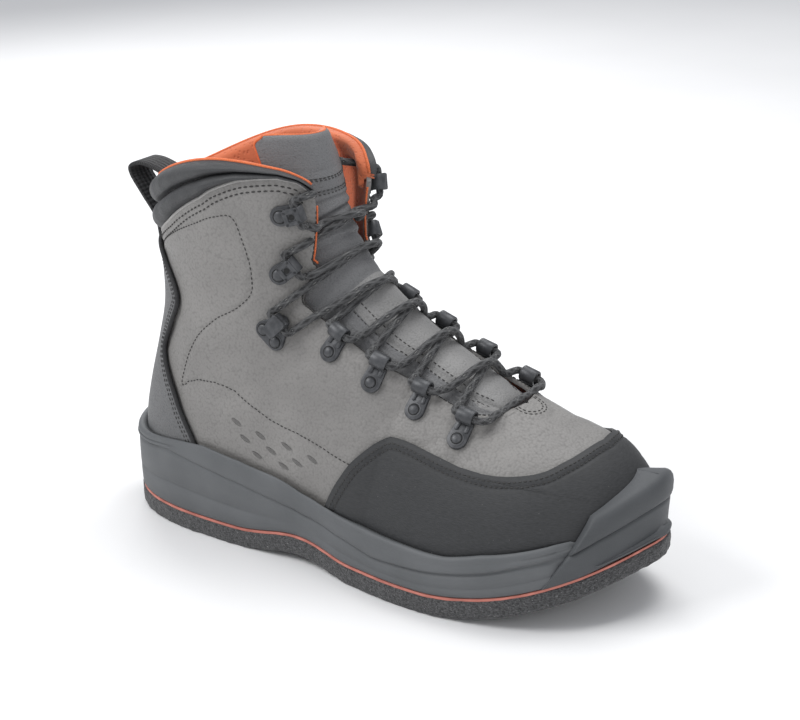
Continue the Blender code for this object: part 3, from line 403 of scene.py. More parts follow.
class Wire:
    """One output socket that can be used in arithmetic."""

    def __init__(self, tree, socket):
        self.tree, self.socket = tree, socket

    def maths(self, operation, *values):
        made = self.tree.nodes.new("ShaderNodeMath")
        made.operation = operation
        for slot, value in zip(made.inputs, values):
            feed(self.tree, slot, value)
        return Wire(self.tree, made.outputs[0])

    def __add__(self, other):
        return self.maths("ADD", self, other)

    def __sub__(self, other):
        return self.maths("SUBTRACT", self, other)

    def __rsub__(self, other):
        return self.maths("SUBTRACT", other, self)

    def __mul__(self, other):
        return self.maths("MULTIPLY", self, other)

    def __truediv__(self, other):
        return self.maths("DIVIDE", self, other)

    def __pow__(self, other):
        return self.maths("POWER", self, other)

    __radd__, __rmul__ = __add__, __mul__

    def least(self, other):
        return self.maths("MINIMUM", self, other)

    def most(self, other):
        return self.maths("MAXIMUM", self, other)

    def sine(self):
        return self.maths("SINE", self)

    def ramp(self, low, high):
        """0 at low and 1 at high, clamped; low may be the greater."""
        share = (self - low) / (high - low)
        share.socket.node.use_clamp = True
        return share


class Finish:
    """A material: one Principled shader and what feeds it."""

    def __init__(self, name, roughness=0.6, metallic=0.0, sheen=0.0, coat=0.0, space="Object"):
        self.material = bpy.data.materials.new(name)
        self.material.use_nodes = True
        self.tree = self.material.node_tree
        self.shader = self.tree.nodes["Principled BSDF"]
        self.shader.inputs["Roughness"].default_value = roughness
        self.shader.inputs["Metallic"].default_value = metallic
        self.shader.inputs["Sheen Weight"].default_value = sheen
        self.shader.inputs["Coat Weight"].default_value = coat
        self.place = self.node("ShaderNodeTexCoord", output=space)

    def node(self, kind, settings=(), inputs=(), output=0):
        made = self.tree.nodes.new(kind)
        for key, value in dict(settings).items():
            setattr(made, key, value)
        for key, value in dict(inputs).items():
            feed(self.tree, made.inputs[key], value)
        return Wire(self.tree, made.outputs[output])

    def stretched(self, x, y, z):
        """Coordinates scaled a different amount each way."""
        return self.node("ShaderNodeMapping", inputs={"Vector": self.place, "Scale": (x, y, z)})

    def cloud(self, scale, detail=2.0, place=None):
        return self.node("ShaderNodeTexNoise",
                         inputs={"Vector": place or self.place, "Scale": scale, "Detail": detail})

    def cells(self, scale, place=None, feature="F1"):
        return self.node("ShaderNodeTexVoronoi", {"feature": feature},
                         {"Vector": place or self.place, "Scale": scale}, "Distance")

    def axis(self, letter):
        return self.node("ShaderNodeSeparateXYZ", inputs={"Vector": self.place}, output=letter)

    def mix(self, share, first, second):
        colours = [c if isinstance(c, Wire) else (*c, 1.0) for c in (first, second)]
        return self.node("ShaderNodeMix", {"data_type": "RGBA"}, {0: share, 6: colours[0], 7: colours[1]}, 2)

    def wear(self, colour, roughness=None, height=None, depth=0.0002):
        """Feed the shader: colour, roughness and a bump of height times depth metres."""
        feed(self.tree, self.shader.inputs["Base Color"], colour)
        if roughness is not None:
            feed(self.tree, self.shader.inputs["Roughness"], roughness)
        if height is not None:
            bump = self.node("ShaderNodeBump", inputs={"Height": height, "Distance": depth})
            feed(self.tree, self.shader.inputs["Normal"], bump)
        return self.material


print("shader helpers ready")

# %% [markdown]
# ### Leather of the upper
# Coated leather has a pebble grain about a millimetre across, finer wrinkles where it
# bends, and a slow change of tone. Voronoi cells give pebbles, and painted shade darkens
# the valleys between them; noise gives the rest. The row of small drain marks low on the
# side is pressed in, too fine for the mesh, so it is a distance field of ellipses in the
# same bump, and painted shade darkens each mark.
# %% Leather
DRAINS = [(0.664, 0.747), (0.649, 0.786), (0.637, 0.758), (0.632, 0.824), (0.621, 0.793),
          (0.607, 0.762), (0.603, 0.835), (0.590, 0.805), (0.575, 0.768)]


def leather(name, dark, light, drains=False, pebble=780):
    finish = Finish(name, roughness=0.5)
    grain = finish.cells(pebble) ** 1.4
    fine = finish.cloud(2600)
    bend = finish.cloud(150, 3.0, finish.stretched(1.0, 1.0, 1.7))
    tone = finish.cloud(26, 3.0).ramp(0.3, 0.7)
    height = bend * 1.5 + fine * 0.22 - grain * 0.75
    colour = finish.mix(tone, dark, light)
    # Painted shade: the valleys between the pebbles are darkened.
    colour = finish.mix(grain.ramp(0.35, 0.9) * 0.35, colour, tuple(c * 0.55 for c in dark))
    if drains:
        near = None
        for r, t in DRAINS:
            x, y, z = on_last(0, r, t)
            scaled = finish.node("ShaderNodeMapping", {"vector_type": "TEXTURE"},
                                 {"Vector": finish.place, "Location": (x, y, z), "Rotation": (0, 0.42, 0),
                                  "Scale": (0.0036, 0.02, 0.0012)})
            far = finish.node("ShaderNodeVectorMath", {"operation": "LENGTH"}, {0: scaled}, "Value")
            near = far if near is None else near.least(far)
        pressed = 1 - near.ramp(0.75, 1.1)
        height = height - pressed * 4.0
        # Painted shade: each pressed drain mark is darkened, most in its middle.
        shade = pressed * (1 - near.ramp(0.0, 1.2) * 0.4) * 0.75
        colour = finish.mix(shade, colour, tuple(c * 0.3 for c in dark))
    return finish.wear(colour, 0.44 + grain * 0.22 + tone * 0.06, height, 0.00022)


UPPER_LEATHER = leather("pebbled_leather", (0.176, 0.170, 0.163), (0.222, 0.215, 0.206), drains=True)
COUNTER_LEATHER = leather("counter_leather", (0.085, 0.086, 0.088), (0.110, 0.111, 0.113), pebble=1100)
TONGUE_LEATHER = leather("tongue_leather", (0.118, 0.119, 0.122), (0.155, 0.156, 0.159), pebble=1300)
TONGUE_PAD = leather("tongue_pad_leather", (0.190, 0.188, 0.185), (0.235, 0.232, 0.228), pebble=1100)
print("leathers:", UPPER_LEATHER.name, COUNTER_LEATHER.name, TONGUE_LEATHER.name, TONGUE_PAD.name)

# %% [markdown]
# ### Rubber, foam and felt
# The toe rubber is brushed: noise stretched along one direction reads as fine scratches,
# with a few pale specks of dust. The moulded foam is cooler and smoother. Felt is a mat
# of short fibres, so its bump is coarse noise at several sizes, with pale flecks.
# %% Rubber, foam, felt and bond
def brushed_rubber():
    finish = Finish("brushed_toe_rubber", roughness=0.62)
    scratch = finish.cloud(1.0, 4.0, finish.stretched(420, 420, 2600))
    fine = finish.cloud(2100, 2.0)
    specks = finish.cells(330).ramp(0.085, 0.04) * finish.cloud(900).ramp(0.52, 0.6)
    colour = finish.mix(scratch.ramp(0.3, 0.75), (0.016, 0.017, 0.018), (0.036, 0.037, 0.039))
    colour = finish.mix(specks * 0.5, colour, (0.22, 0.22, 0.21))
    return finish.wear(colour, 0.52 + scratch * 0.25, scratch * 0.8 + fine * 0.4, 0.00012)


def moulded_foam(name, dark, light):
    finish = Finish(name, roughness=0.6)
    fine = finish.cloud(1900, 2.0)
    pits = finish.cells(620).ramp(0.1, 0.4)
    tone = finish.cloud(30, 3.0).ramp(0.3, 0.7)
    scuff = finish.cloud(9.0, 5.0, finish.stretched(1, 1, 6)).ramp(0.55, 0.75)
    colour = finish.mix(tone, dark, light)
    colour = finish.mix(scuff * 0.18, colour, tuple(c * 1.5 for c in light))
    return finish.wear(colour, 0.52 + fine * 0.2, fine * 0.5 + pits * 0.3, 0.00008)


def felt_mat():
    finish = Finish("felt_mat", roughness=0.98, sheen=0.15)
    fibre = finish.cloud(900, 4.0, finish.stretched(1, 1, 1.6))
    clump = finish.cloud(330, 3.0)
    fleck = finish.cells(620).ramp(0.22, 0.08) * finish.cloud(500).ramp(0.5, 0.62)
    colour = finish.mix(fibre.ramp(0.35, 0.7), (0.022, 0.022, 0.023), (0.105, 0.105, 0.107))
    colour = finish.mix(fleck * 0.8, colour, (0.30, 0.30, 0.30))
    return finish.wear(colour, 0.95, fibre * 1.0 + clump * 1.4, 0.0009)


def bond_line():
    finish = Finish("bond_line", roughness=0.6)
    tone = finish.cloud(120, 3.0).ramp(0.35, 0.7)
    colour = finish.mix(tone, (0.40, 0.13, 0.10), (0.56, 0.20, 0.155))
    return finish.wear(colour, 0.6, finish.cloud(900), 0.0001)


TOE_RUBBER = brushed_rubber()
FOAM = moulded_foam("moulded_foam", (0.082, 0.087, 0.091), (0.106, 0.111, 0.116))
BUMPER_RUBBER = moulded_foam("bumper_rubber", (0.050, 0.054, 0.058), (0.068, 0.072, 0.077))
FELT_MAT = felt_mat()
BOND_LINE = bond_line()
print("hard finishes:", TOE_RUBBER.name, FOAM.name, FELT_MAT.name, BOND_LINE.name)

# %% [markdown]
# ### Linings, webbing, metal and thread
# The lining is an orange knit, so small cells press into it, and painted shade darkens
# them. Webbing shows ribs along its weave. The lace is braided: crossing diagonal bands
# on the tube's own UV map, with pale flecks where the yarns turn over. Coated metal is
# dark, smooth and a little worn.
# %% Textiles and metal
def knit_lining():
    finish = Finish("orange_knit", roughness=0.9, sheen=0.25)
    holes = finish.cells(520).ramp(0.12, 0.45)
    tone = finish.cloud(30, 3.0).ramp(0.3, 0.7)
    colour = finish.mix(tone, (0.50, 0.125, 0.050), (0.62, 0.170, 0.075))
    # Painted shade: the pressed holes of the knit are darkened.
    colour = finish.mix((1 - holes) * 0.16, colour, (0.30, 0.045, 0.015))
    return finish.wear(colour, 0.9, holes + finish.cloud(1500) * 0.3, 0.00025)


def soft_padding():
    finish = Finish("collar_padding", roughness=0.55)
    grain = finish.cells(1200)
    pull = finish.cloud(90, 3.0, finish.stretched(1, 1, 2.2))
    tone = finish.cloud(24, 2.0).ramp(0.3, 0.7)
    colour = finish.mix(tone, (0.028, 0.029, 0.031), (0.046, 0.047, 0.049))
    return finish.wear(colour, 0.48 + grain * 0.2, pull * 2.0 - grain * 0.5, 0.0002)


def ribbed_webbing():
    finish = Finish("ribbed_webbing", roughness=0.9, sheen=0.1, space="UV")
    along, across = finish.axis("X"), finish.axis("Y")
    rib = (across * (2 * pi * 20)).sine()
    weft = (along * (2 * pi * 46)).sine()
    colour = finish.mix((rib * 0.3 + weft * 0.3 + 0.5), (0.006, 0.006, 0.007), (0.030, 0.030, 0.032))
    return finish.wear(colour, 0.85, rib * 0.6 + weft * 0.5, 0.0004)


def coated_metal():
    finish = Finish("coated_metal", roughness=0.42, metallic=0.35)
    fine = finish.cloud(2400, 2.0)
    tone = finish.cloud(300, 3.0).ramp(0.4, 0.65)
    colour = finish.mix(tone, (0.050, 0.052, 0.056), (0.078, 0.080, 0.085))
    return finish.wear(colour, 0.36 + fine * 0.16, fine, 0.00004)


def braided_cord():
    finish = Finish("braided_cord", roughness=0.85, sheen=0.1, space="UV")
    along, around = finish.axis("X"), finish.axis("Y")
    one = (along * pi + around * (2 * pi * 4)).sine()
    two = (along * pi - around * (2 * pi * 4)).sine()
    weave = one.most(two)
    yarn = (along * (2 * pi * 3) + around * (2 * pi * 12)).sine()
    fleck = (one * two).ramp(0.55, 0.9) * (along * (2 * pi / 3.7)).sine().ramp(0.2, 0.6)
    colour = finish.mix(weave.ramp(-0.6, 1.0), (0.016, 0.016, 0.017), (0.078, 0.079, 0.081))
    colour = finish.mix(fleck * 0.55, colour, (0.26, 0.26, 0.25))
    return finish.wear(colour, 0.8, weave * 0.7 + yarn * 0.25, 0.0004)


def plain(name, dark, light, scale=900, roughness=0.75, depth=0.00012):
    finish = Finish(name, roughness=roughness)
    tone = finish.cloud(scale, 3.0).ramp(0.35, 0.65)
    return finish.wear(finish.mix(tone, dark, light), roughness - 0.05 + tone * 0.1, tone, depth)


LINING = knit_lining()
PADDING = soft_padding()
WEBBING = ribbed_webbing()
METAL = coated_metal()
CORD = braided_cord()
THREAD = plain("dark_thread", (0.022, 0.021, 0.020), (0.050, 0.048, 0.046), 1800)
BINDING = plain("black_binding", (0.010, 0.010, 0.011), (0.024, 0.024, 0.025), 900)
RAW_EDGE = plain("raw_leather_edge", (0.27, 0.265, 0.255), (0.37, 0.36, 0.35), 1200)
PIPING = plain("orange_piping", (0.58, 0.12, 0.04), (0.72, 0.18, 0.06), 1500)
# Near-black painted shadow, laid as a ring round each rivet's dome and a disc on each open hook.
SHADOW = plain("painted_eyelet_shadow", (0.004, 0.004, 0.004), (0.010, 0.010, 0.010), 900)
print(len(bpy.data.materials), "materials in all")

# %% [markdown]
# ## Floor and light
# A pale seamless floor with a big soft key from the upper left, a fill from the right
# and a rim from behind, as in a catalogue photograph.
# %% Studio
floor_form = bmesh.new()
bmesh.ops.create_grid(floor_form, x_segments=2, y_segments=2, size=3.0)
floor_mesh = bpy.data.meshes.new("floor")
floor_form.to_mesh(floor_mesh)
floor_form.free()
floor_mesh.materials.append(plain("pale_floor", (0.80, 0.80, 0.80), (0.82, 0.82, 0.82), 4, 0.9, 0.0))
floor = bpy.data.objects.new("floor", floor_mesh)
bpy.context.collection.objects.link(floor)
floor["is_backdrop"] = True

world = bpy.data.worlds.new("studio")
world.use_nodes = True
world.node_tree.nodes["Background"].inputs["Color"].default_value = (0.93, 0.95, 1.0, 1)
world.node_tree.nodes["Background"].inputs["Strength"].default_value = 0.55
bpy.context.scene.world = world
bpy.context.scene.view_settings.view_transform = "Standard"

LIGHTS = {"key": ((-0.55, -0.80, 1.10), 0.7, 12), "fill": ((1.3, -0.75, 0.55), 1.0, 4),
          "top": ((0.25, 0.35, 1.3), 0.7, 9), "rim": ((-0.9, 0.9, 0.8), 0.7, 7)}
for name, (spot, size, watts) in LIGHTS.items():
    lamp = bpy.data.lights.new(name, "AREA")
    lamp.energy, lamp.size = watts, size
    holder = bpy.data.objects.new(name, lamp)
    bpy.context.collection.objects.link(holder)
    holder.location = spot
    holder.rotation_euler = (Vector(spot) - TARGET).to_track_quat("Z", "Y").to_euler()
print("lights:", ", ".join(LIGHTS))

# %% [markdown]
# ## Sheets, solids and stitches
# Most pieces start as one grid whose vertices are laid on a surface. Where two sides or
# two ends meet, the doubles are merged first, then the faces are turned outwards.
# %% Helpers for meshes
def laid_grid(rows, columns, place, turns=None):
    """Grid of faces with each vertex moved to place(a, b), both from 0 to 1.

    turns, as (u, v), also writes a UV map that runs that far over the grid."""
    bm = bmesh.new()
    bmesh.ops.create_grid(bm, x_segments=columns, y_segments=rows, size=0.5)
    spots = np.array([v.co[:2] for v in bm.verts]) + 0.5
    if turns:
        chart = bm.loops.layers.uv.new("UVMap")
        for face in bm.faces:
            for corner in face.loops:
                corner[chart].uv = ((corner.vert.co.y + 0.5) * turns[0], (corner.vert.co.x + 0.5) * turns[1])
    for vertex, spot in zip(bm.verts, place(spots[:, 1], spots[:, 0])):
        vertex.co = spot
    return bm


def through(sections, turns=None):
    """Grid of faces through closed sections, one row of vertices for each."""
    sections = np.asarray(sections)
    rows, around = len(sections) - 1, sections.shape[1]

    def place(a, b):
        return sections[np.rint(a * rows).astype(int), np.rint(b * around).astype(int) % around]
    return laid_grid(rows, around, place, turns)


def end_capped(bm, sides, distance=1e-6):
    """Close a swept grid along its seam and at its ends; returns the end faces."""
    bmesh.ops.remove_doubles(bm, verts=bm.verts, dist=distance)
    rims = [edge for edge in bm.edges if edge.is_boundary]
    ends = bmesh.ops.holes_fill(bm, edges=rims, sides=sides)["faces"]
    bmesh.ops.recalc_face_normals(bm, faces=bm.faces)
    return ends


def merged(parts):
    """One bmesh of several, which it frees."""
    whole = bmesh.new()
    for part in parts:
        mesh = bpy.data.meshes.new("part")
        part.to_mesh(mesh)
        part.free()
        whole.from_mesh(mesh)
        bpy.data.meshes.remove(mesh)
    return whole


def sewn(bm, distance=2e-5):
    """Merge doubles and turn the faces outwards."""
    bmesh.ops.remove_doubles(bm, verts=bm.verts, dist=distance)
    bmesh.ops.dissolve_degenerate(bm, edges=bm.edges, dist=1e-7)
    bmesh.ops.recalc_face_normals(bm, faces=bm.faces)
    return bm


def facing_out(bm, centre=(0.05, 0.0, 0.07)):
    """Turn an open sheet so that its faces point away from a centre."""
    score = sum((face.calc_center_median() - Vector(centre)).dot(face.normal) * face.calc_area()
                for face in bm.faces)
    if score < 0:
        bmesh.ops.reverse_faces(bm, faces=bm.faces)
    return bm


def piece(name, bm, finishes, nodes=(), crease=None):
    """Finish a bmesh as a named piece that rides with the boot."""
    mesh = bpy.data.meshes.new(name)
    bm.to_mesh(mesh)
    bm.free()
    for finish in finishes:
        mesh.materials.append(finish)
    mesh.shade_smooth()
    if crease:
        mesh.set_sharp_from_angle(angle=crease)
    made = bpy.data.objects.new(name, mesh)
    bpy.context.collection.objects.link(made)
    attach(made, "root")
    if nodes:
        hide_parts(*nodes)
    return made


def thickened(made, depth, rim_bevel=0.0, inner=0):
    """Give a sheet its thickness inwards, and round its rim."""
    wall = made.modifiers.new("wall", "SOLIDIFY")
    wall.thickness, wall.offset, wall.use_even_offset = depth, -1, True
    wall.material_offset, wall.material_offset_rim = inner, 0
    if rim_bevel:
        soft = made.modifiers.new("rim", "BEVEL")
        soft.width, soft.segments, soft.limit_method, soft.angle_limit = rim_bevel, 2, "ANGLE", radians(50)
    return made


def skin_tree(bm):
    return BVHTree.FromBMesh(bm)


def settle(tree, points, lift=0.0):
    """Nearest places on a skin, with the skin's outward normals."""
    spots, normals = [], []
    for point in points:
        spot, normal, _, _ = tree.find_nearest(Vector(point))
        spots.append(np.array(spot) + np.array(normal) * lift)
        normals.append(np.array(normal))
    return np.array(spots), np.array(normals)


def beside(tree, points, distance, lift=0.0):
    """A line on a skin that runs beside another, to the left of its travel."""
    spots, normals = settle(tree, points)
    return settle(tree, spots + unit(np.cross(normals, np.gradient(spots, axis=0))) * distance, lift)


def resampled(line, pitch):
    """Points at even steps along a line."""
    length = np.linalg.norm(np.diff(line, axis=0), axis=1).sum()
    count = max(int(round(length / pitch)), 1)
    shares = (np.arange(count) + 0.5) / count
    return np.stack([np.interp(shares, arc_shares(line), line[:, k]) for k in range(3)], -1)


def tube(bm, line, radius, sides=8, flat=1.0):
    """Round cord along a line: one ring, carried along and bridged."""
    line = np.asarray(line)
    over, rings = Vector((0.013, 0.021, 1)), []
    runs = np.gradient(line, axis=0)
    for spot, run in zip(line, runs):
        run = Vector(run).normalized()
        aside = run.cross(over).normalized()
        over = aside.cross(run)
        turn = Matrix((aside, over * flat, run)).transposed().to_4x4()
        ring = bmesh.ops.create_circle(bm, segments=sides, radius=radius,
                                       matrix=Matrix.Translation(Vector(spot)) @ turn)["verts"]
        rings.append(list({edge for vertex in ring for edge in vertex.link_edges}))
    for low, high in zip(rings, rings[1:]):
        bmesh.ops.bridge_loops(bm, edges=low + high)
    for ring in (rings[0], rings[-1]):
        bmesh.ops.edgeloop_fill(bm, edges=ring)
    return bm


STITCH_ROWS = []
stitch_count = 0


def stitch(tree, line, pitch=0.0026, length=0.0019, radius=0.00034):
    """Sew a row of stitches along a line on a skin."""
    global stitch_count
    row = bmesh.new()
    spots, normals = settle(tree, resampled(np.asarray(line), pitch), radius * 0.35)
    for spot, normal, run in zip(spots, normals, np.gradient(spots, axis=0)):
        run, normal = Vector(run).normalized(), Vector(normal)
        turn = Matrix((run, normal.cross(run).normalized(), normal)).transposed().to_4x4()
        size = Matrix.Diagonal((length / 2, radius, radius * 0.8, 1))
        bmesh.ops.create_uvsphere(row, u_segments=6, v_segments=4, radius=1.0,
                                  matrix=Matrix.Translation(Vector(spot)) @ turn @ size)
    STITCH_ROWS.append(row)
    stitch_count += len(spots)


print("mesh helpers ready")

# %% [markdown]
# ## Upper
# The upper is one sheet of coated leather drawn over the last, so it is a fine grid from
# throat to feather line, mirrored in idea but not in numbers: the inner side is flatter.
# The creases are placed as soft troughs and ridges where this boot bends: above
# the toe cap, behind the cap's peak and in front of the ankle.
# %% Creases and raised bands
CREASES = [
    (0, [(0.392, 0.50), (0.352, 0.40), (0.318, 0.27), (0.300, 0.12)], -0.0007, 0.0045),
    (0, [(0.372, 0.47), (0.330, 0.36), (0.296, 0.20)], 0.0004, 0.0035),
    (0, [(0.430, 0.47), (0.446, 0.54), (0.470, 0.60)], -0.0006, 0.0035),
    (0, [(0.500, 0.47), (0.512, 0.56), (0.500, 0.66)], -0.0005, 0.0040),
    (0, [(0.563, 0.47), (0.556, 0.56), (0.540, 0.66)], -0.0005, 0.0040),
    (0, [(0.640, 0.48), (0.655, 0.56), (0.674, 0.64), (0.690, 0.70)], -0.0007, 0.0055),
    (0, [(0.660, 0.50), (0.682, 0.58), (0.705, 0.66)], 0.0004, 0.0045),
    (0, [(0.712, 0.50), (0.724, 0.60), (0.752, 0.72)], -0.0005, 0.0060),
    (0, [(0.790, 0.52), (0.800, 0.66), (0.812, 0.80)], -0.0004, 0.0070),
    (1, [(0.390, 0.46), (0.350, 0.38), (0.312, 0.24)], -0.0007, 0.0045),
    (1, [(0.470, 0.45), (0.480, 0.55), (0.500, 0.64)], -0.0005, 0.0040),
    (1, [(0.640, 0.46), (0.660, 0.58), (0.690, 0.70)], -0.0007, 0.0055),
    (1, [(0.720, 0.48), (0.740, 0.62), (0.770, 0.74)], -0.0005, 0.0060),
]
QUARTER_SEAM = [(0.912, 0.90), (0.906, 0.70), (0.898, 0.58), (0.894, 0.49), (0.884, 0.445), (0.846, 0.415),
                (0.790, 0.370), (0.765, 0.365), (0.760, 0.400), (0.770, 0.470), (0.768, 0.540), (0.752, 0.578),
                (0.715, 0.628), (0.648, 0.694), (0.557, 0.712), (0.512, 0.718)]
BASE_TAB = 0.0105


def far_from(points, line):
    """Distance of each point from a polyline."""
    best = np.full(len(points), 1.0)
    for a, b in zip(line, line[1:]):
        run = b - a
        share = np.clip((points - a) @ run / max(run @ run, 1e-12), 0, 1)
        best = np.minimum(best, np.linalg.norm(points - a - share[:, None] * run, axis=1))
    return best


def drawn(side, shares, samples=6):
    """A line of r and t shares, smoothed, as points on the last."""
    line = spline(shares, samples)
    return on_last(side, line[:, 0], line[:, 1])


def throat_line(side, low=THROAT_BASE, high=0.985, count=150):
    rows = np.linspace(low, high, count)
    t = throat(side, rows)
    return on_last(side, bent_row(np.minimum(rows, TOP_ROW), t), t)


def upper_relief(side, r, t, points):
    """How far the leather stands out of the last at each point."""
    lift = np.zeros(len(points))
    for crease_side, shares, height, width in CREASES:
        if crease_side == side:
            lift += height * np.exp(-(far_from(points, drawn(side, shares)) / width) ** 2)
    seam = far_from(points, drawn(side, QUARTER_SEAM))
    lift += 0.00035 * np.exp(-((seam - 0.0030) / 0.0022) ** 2) - 0.0004 * np.exp(-(seam / 0.0010) ** 2)
    band = far_from(points, throat_line(side, 0.385, 0.70))
    lift += 0.0006 * (1 - blend(0.0072, 0.0082, band)) * blend(0.36, 0.385, r) * (1 - blend(0.690, 0.705, r))
    tab = np.linalg.norm(points - on_last(0, THROAT_BASE - 0.004, 0.0), axis=1)
    lift += 0.0007 * (1 - blend(BASE_TAB, BASE_TAB + 0.0008, tab))
    lift += np.array([noise.noise(Vector(p) * 55) * 0.00035 + noise.noise(Vector(p) * 160) * 0.00012
                      for p in points])
    return lift * blend(0.0, 0.02, 1 - t)


print(len(CREASES), "creases")

# %% [markdown]
# ### Leather
# Each side is a grid laid on the last, sewn to the other along the back and the vamp, and
# then given its wall. A cloth simulation would sag an empty boot out of its own shape.
# %% Lay the leather
UPPER_RUNS, UPPER_ROUNDS = 220, 80


def upper_sheet(side):
    def place(a, b):
        rows = a * TOP_ROW
        start = throat(side, rows)
        t = start + (1 - start) * b
        r = bent_row(rows, t)
        points = on_last(side, r, t)
        return points + outward(side, r, t) * upper_relief(side, r, t, points)[:, None]
    return laid_grid(UPPER_RUNS, UPPER_ROUNDS, place)


upper_form = facing_out(sewn(merged([upper_sheet(0), upper_sheet(1)]), 6e-5))
UPPER_SKIN = skin_tree(upper_form)
upper_leather = thickened(piece("upper_leather", upper_form, [UPPER_LEATHER, LINING], ["upper"]),
                          UPPER_WALL, 0.0004, inner=1)
print("upper:", len(upper_leather.data.polygons), "faces before its wall")

# %% [markdown]
# ## Toe cap
# A rubber overlay wraps the toe and runs back along the ball of the foot on each side.
# It is laid on the same last, a little further out, and its edge is rolled down, with
# two rows of stitches inside the edge.
# %% Lay the toe cap
def cap_edge(t):
    return np.interp(t, smooth_cap[:, 0], smooth_cap[:, 1])


def cap_sheet(side):
    def place(a, b):
        share = 1 - (1 - a) ** 1.5
        r = cap_edge(b) * share
        points = lifted(side, r, b, GAP + OVERLAY)
        edge = on_last(side, cap_edge(np.linspace(0, 1, 90)), np.linspace(0, 1, 90))
        near = far_from(points, edge)
        swell = 0.0005 * np.exp(-((near - 0.0035) / 0.0016) ** 2) - 0.0007 * np.exp(-(near / 0.0008) ** 2)
        swell -= 0.0003 * np.exp(-((near - 0.0062) / 0.0009) ** 2)
        return points + outward(side, cap_edge(b) * share, b) * swell[:, None]
    return laid_grid(120, 90, place)


cap_form = facing_out(sewn(merged([cap_sheet(0), cap_sheet(1)]), 6e-5), (0.12, 0, 0.03))
CAP_SKIN = skin_tree(cap_form)
toe_cap = thickened(piece("brushed_toe_cap", cap_form, [TOE_RUBBER], ["toe_cap"]),
                    OVERLAY, 0.0004)
for side in (0, 1):
    t = np.linspace(0.0, 0.985, 120)
    edge = on_last(side, cap_edge(t), t)
    way = -1 if side == 0 else 1
    for distance in (0.0030, 0.0056):
        row, _ = beside(CAP_SKIN, edge, -way * distance)
        stitch(CAP_SKIN, row)
print("toe cap:", len(toe_cap.data.polygons), "faces,", stitch_count, "stitches so far")

# %% [markdown]
# ## Heel counter
# The counter is a stiff overlay round the heel, cut by a waving line seen from the side.
# A sheet a little larger than it is laid on the last, thickened, and then cut by a prism
# with that line as its front, as a knife would cut it. A black binding covers the cut.
# %% Cut the heel counter
def counter_sheet(side):
    def place(a, b):
        r, t = 0.575 + 0.385 * a, 0.52 + 0.48 * b
        return lifted(side, r, t, GAP + OVERLAY + 0.0003 * np.sin(pi * a))
    return laid_grid(110, 60, place)


counter_form = facing_out(sewn(merged([counter_sheet(0), counter_sheet(1)]), 6e-5), (0.02, 0, 0.08))
COUNTER_SKIN = skin_tree(counter_form)
counter = thickened(piece("heel_counter_leather", counter_form, [COUNTER_LEATHER], ["heel_counter"]), OVERLAY)

edge = spline(COUNTER_EDGE, 8) * (SOLE_LENGTH, SHAFT_HEIGHT) - (HEEL_SEAT, 0)
knife = bmesh.new()
corners = [tuple(p) for p in edge] + [(-0.12, edge[-1][1]), (-0.12, edge[0][1])]
front = [knife.verts.new((x, -0.1, z)) for x, z in corners]
moved = bmesh.ops.extrude_face_region(knife, geom=[knife.faces.new(front)])["geom"]
bmesh.ops.translate(knife, vec=(0, 0.2, 0), verts=[v for v in moved if isinstance(v, bmesh.types.BMVert)])
bmesh.ops.recalc_face_normals(knife, faces=knife.faces)
knife_mesh = bpy.data.meshes.new("counter_knife")
knife.to_mesh(knife_mesh)
knife.free()
knife_object = bpy.data.objects.new("counter_knife", knife_mesh)
bpy.context.collection.objects.link(knife_object)
cut = counter.modifiers.new("cut", "BOOLEAN")
cut.operation, cut.solver, cut.object = "INTERSECT", "EXACT", knife_object
bpy.context.view_layer.update()
shaped = bpy.data.meshes.new_from_object(counter.evaluated_get(bpy.context.evaluated_depsgraph_get()))
counter.modifiers.clear()
counter.data = shaped
bpy.data.objects.remove(knife_object)
print("counter:", len(counter.data.polygons), "faces")

# %% [markdown]
# ### Edge of the counter
# The cut edge gets a thin binding and two rows of stitches, as a shoemaker would fold it.
# The line is the knife's own, cast onto the counter, so it follows any change of the cut.
# %% Bind the counter's edge and sew it
binding = bmesh.new()
for side in (0, 1):
    way = -1 if side == 0 else 1
    line = np.array([(x, way * 0.09, z) for x, z in spline(edge, 3)])
    hits = [COUNTER_SKIN.ray_cast(Vector(p), Vector((0, -way, 0))) for p in line]
    line = np.array([hit[0] for hit in hits if hit[0] is not None])
    tube(binding, settle(COUNTER_SKIN, line, -0.0002)[0], 0.00125, 8)
    for distance in (0.0034, 0.0056):
        row, _ = beside(COUNTER_SKIN, line, way * distance)
        stitch(COUNTER_SKIN, row)
piece("counter_binding", sewn(binding, 1e-7), [BINDING], ())
print("binding and", stitch_count, "stitches so far")

# %% [markdown]
# ## Seams of the upper
# Rows of stitches follow the quarter panel, the lace band, the eyestay's notch and the
# top line. Each row is drawn as a line beside an edge and settled on the leather.
# %% Sew the upper
for side in (0, 1):
    way = -1 if side == 0 else 1
    seam = drawn(side, QUARTER_SEAM)
    stitch(UPPER_SKIN, seam)
    for distance in (0.0018, 0.0040, 0.0058):
        row, _ = beside(UPPER_SKIN, throat_line(side, 0.378, 0.700), way * distance)
        stitch(UPPER_SKIN, row)
    for distance in (0.0024, 0.0052):
        row, _ = beside(UPPER_SKIN, throat_line(side, 0.700, 0.880), way * distance)
        stitch(UPPER_SKIN, row)
    t = np.linspace(0.19, 0.985, 110)
    top_line = on_last(side, top_row(t), t)
    for distance in (0.0034, 0.0062):
        row, _ = beside(UPPER_SKIN, top_line, -way * distance)
        stitch(UPPER_SKIN, row, 0.0033, 0.0024, 0.00045)
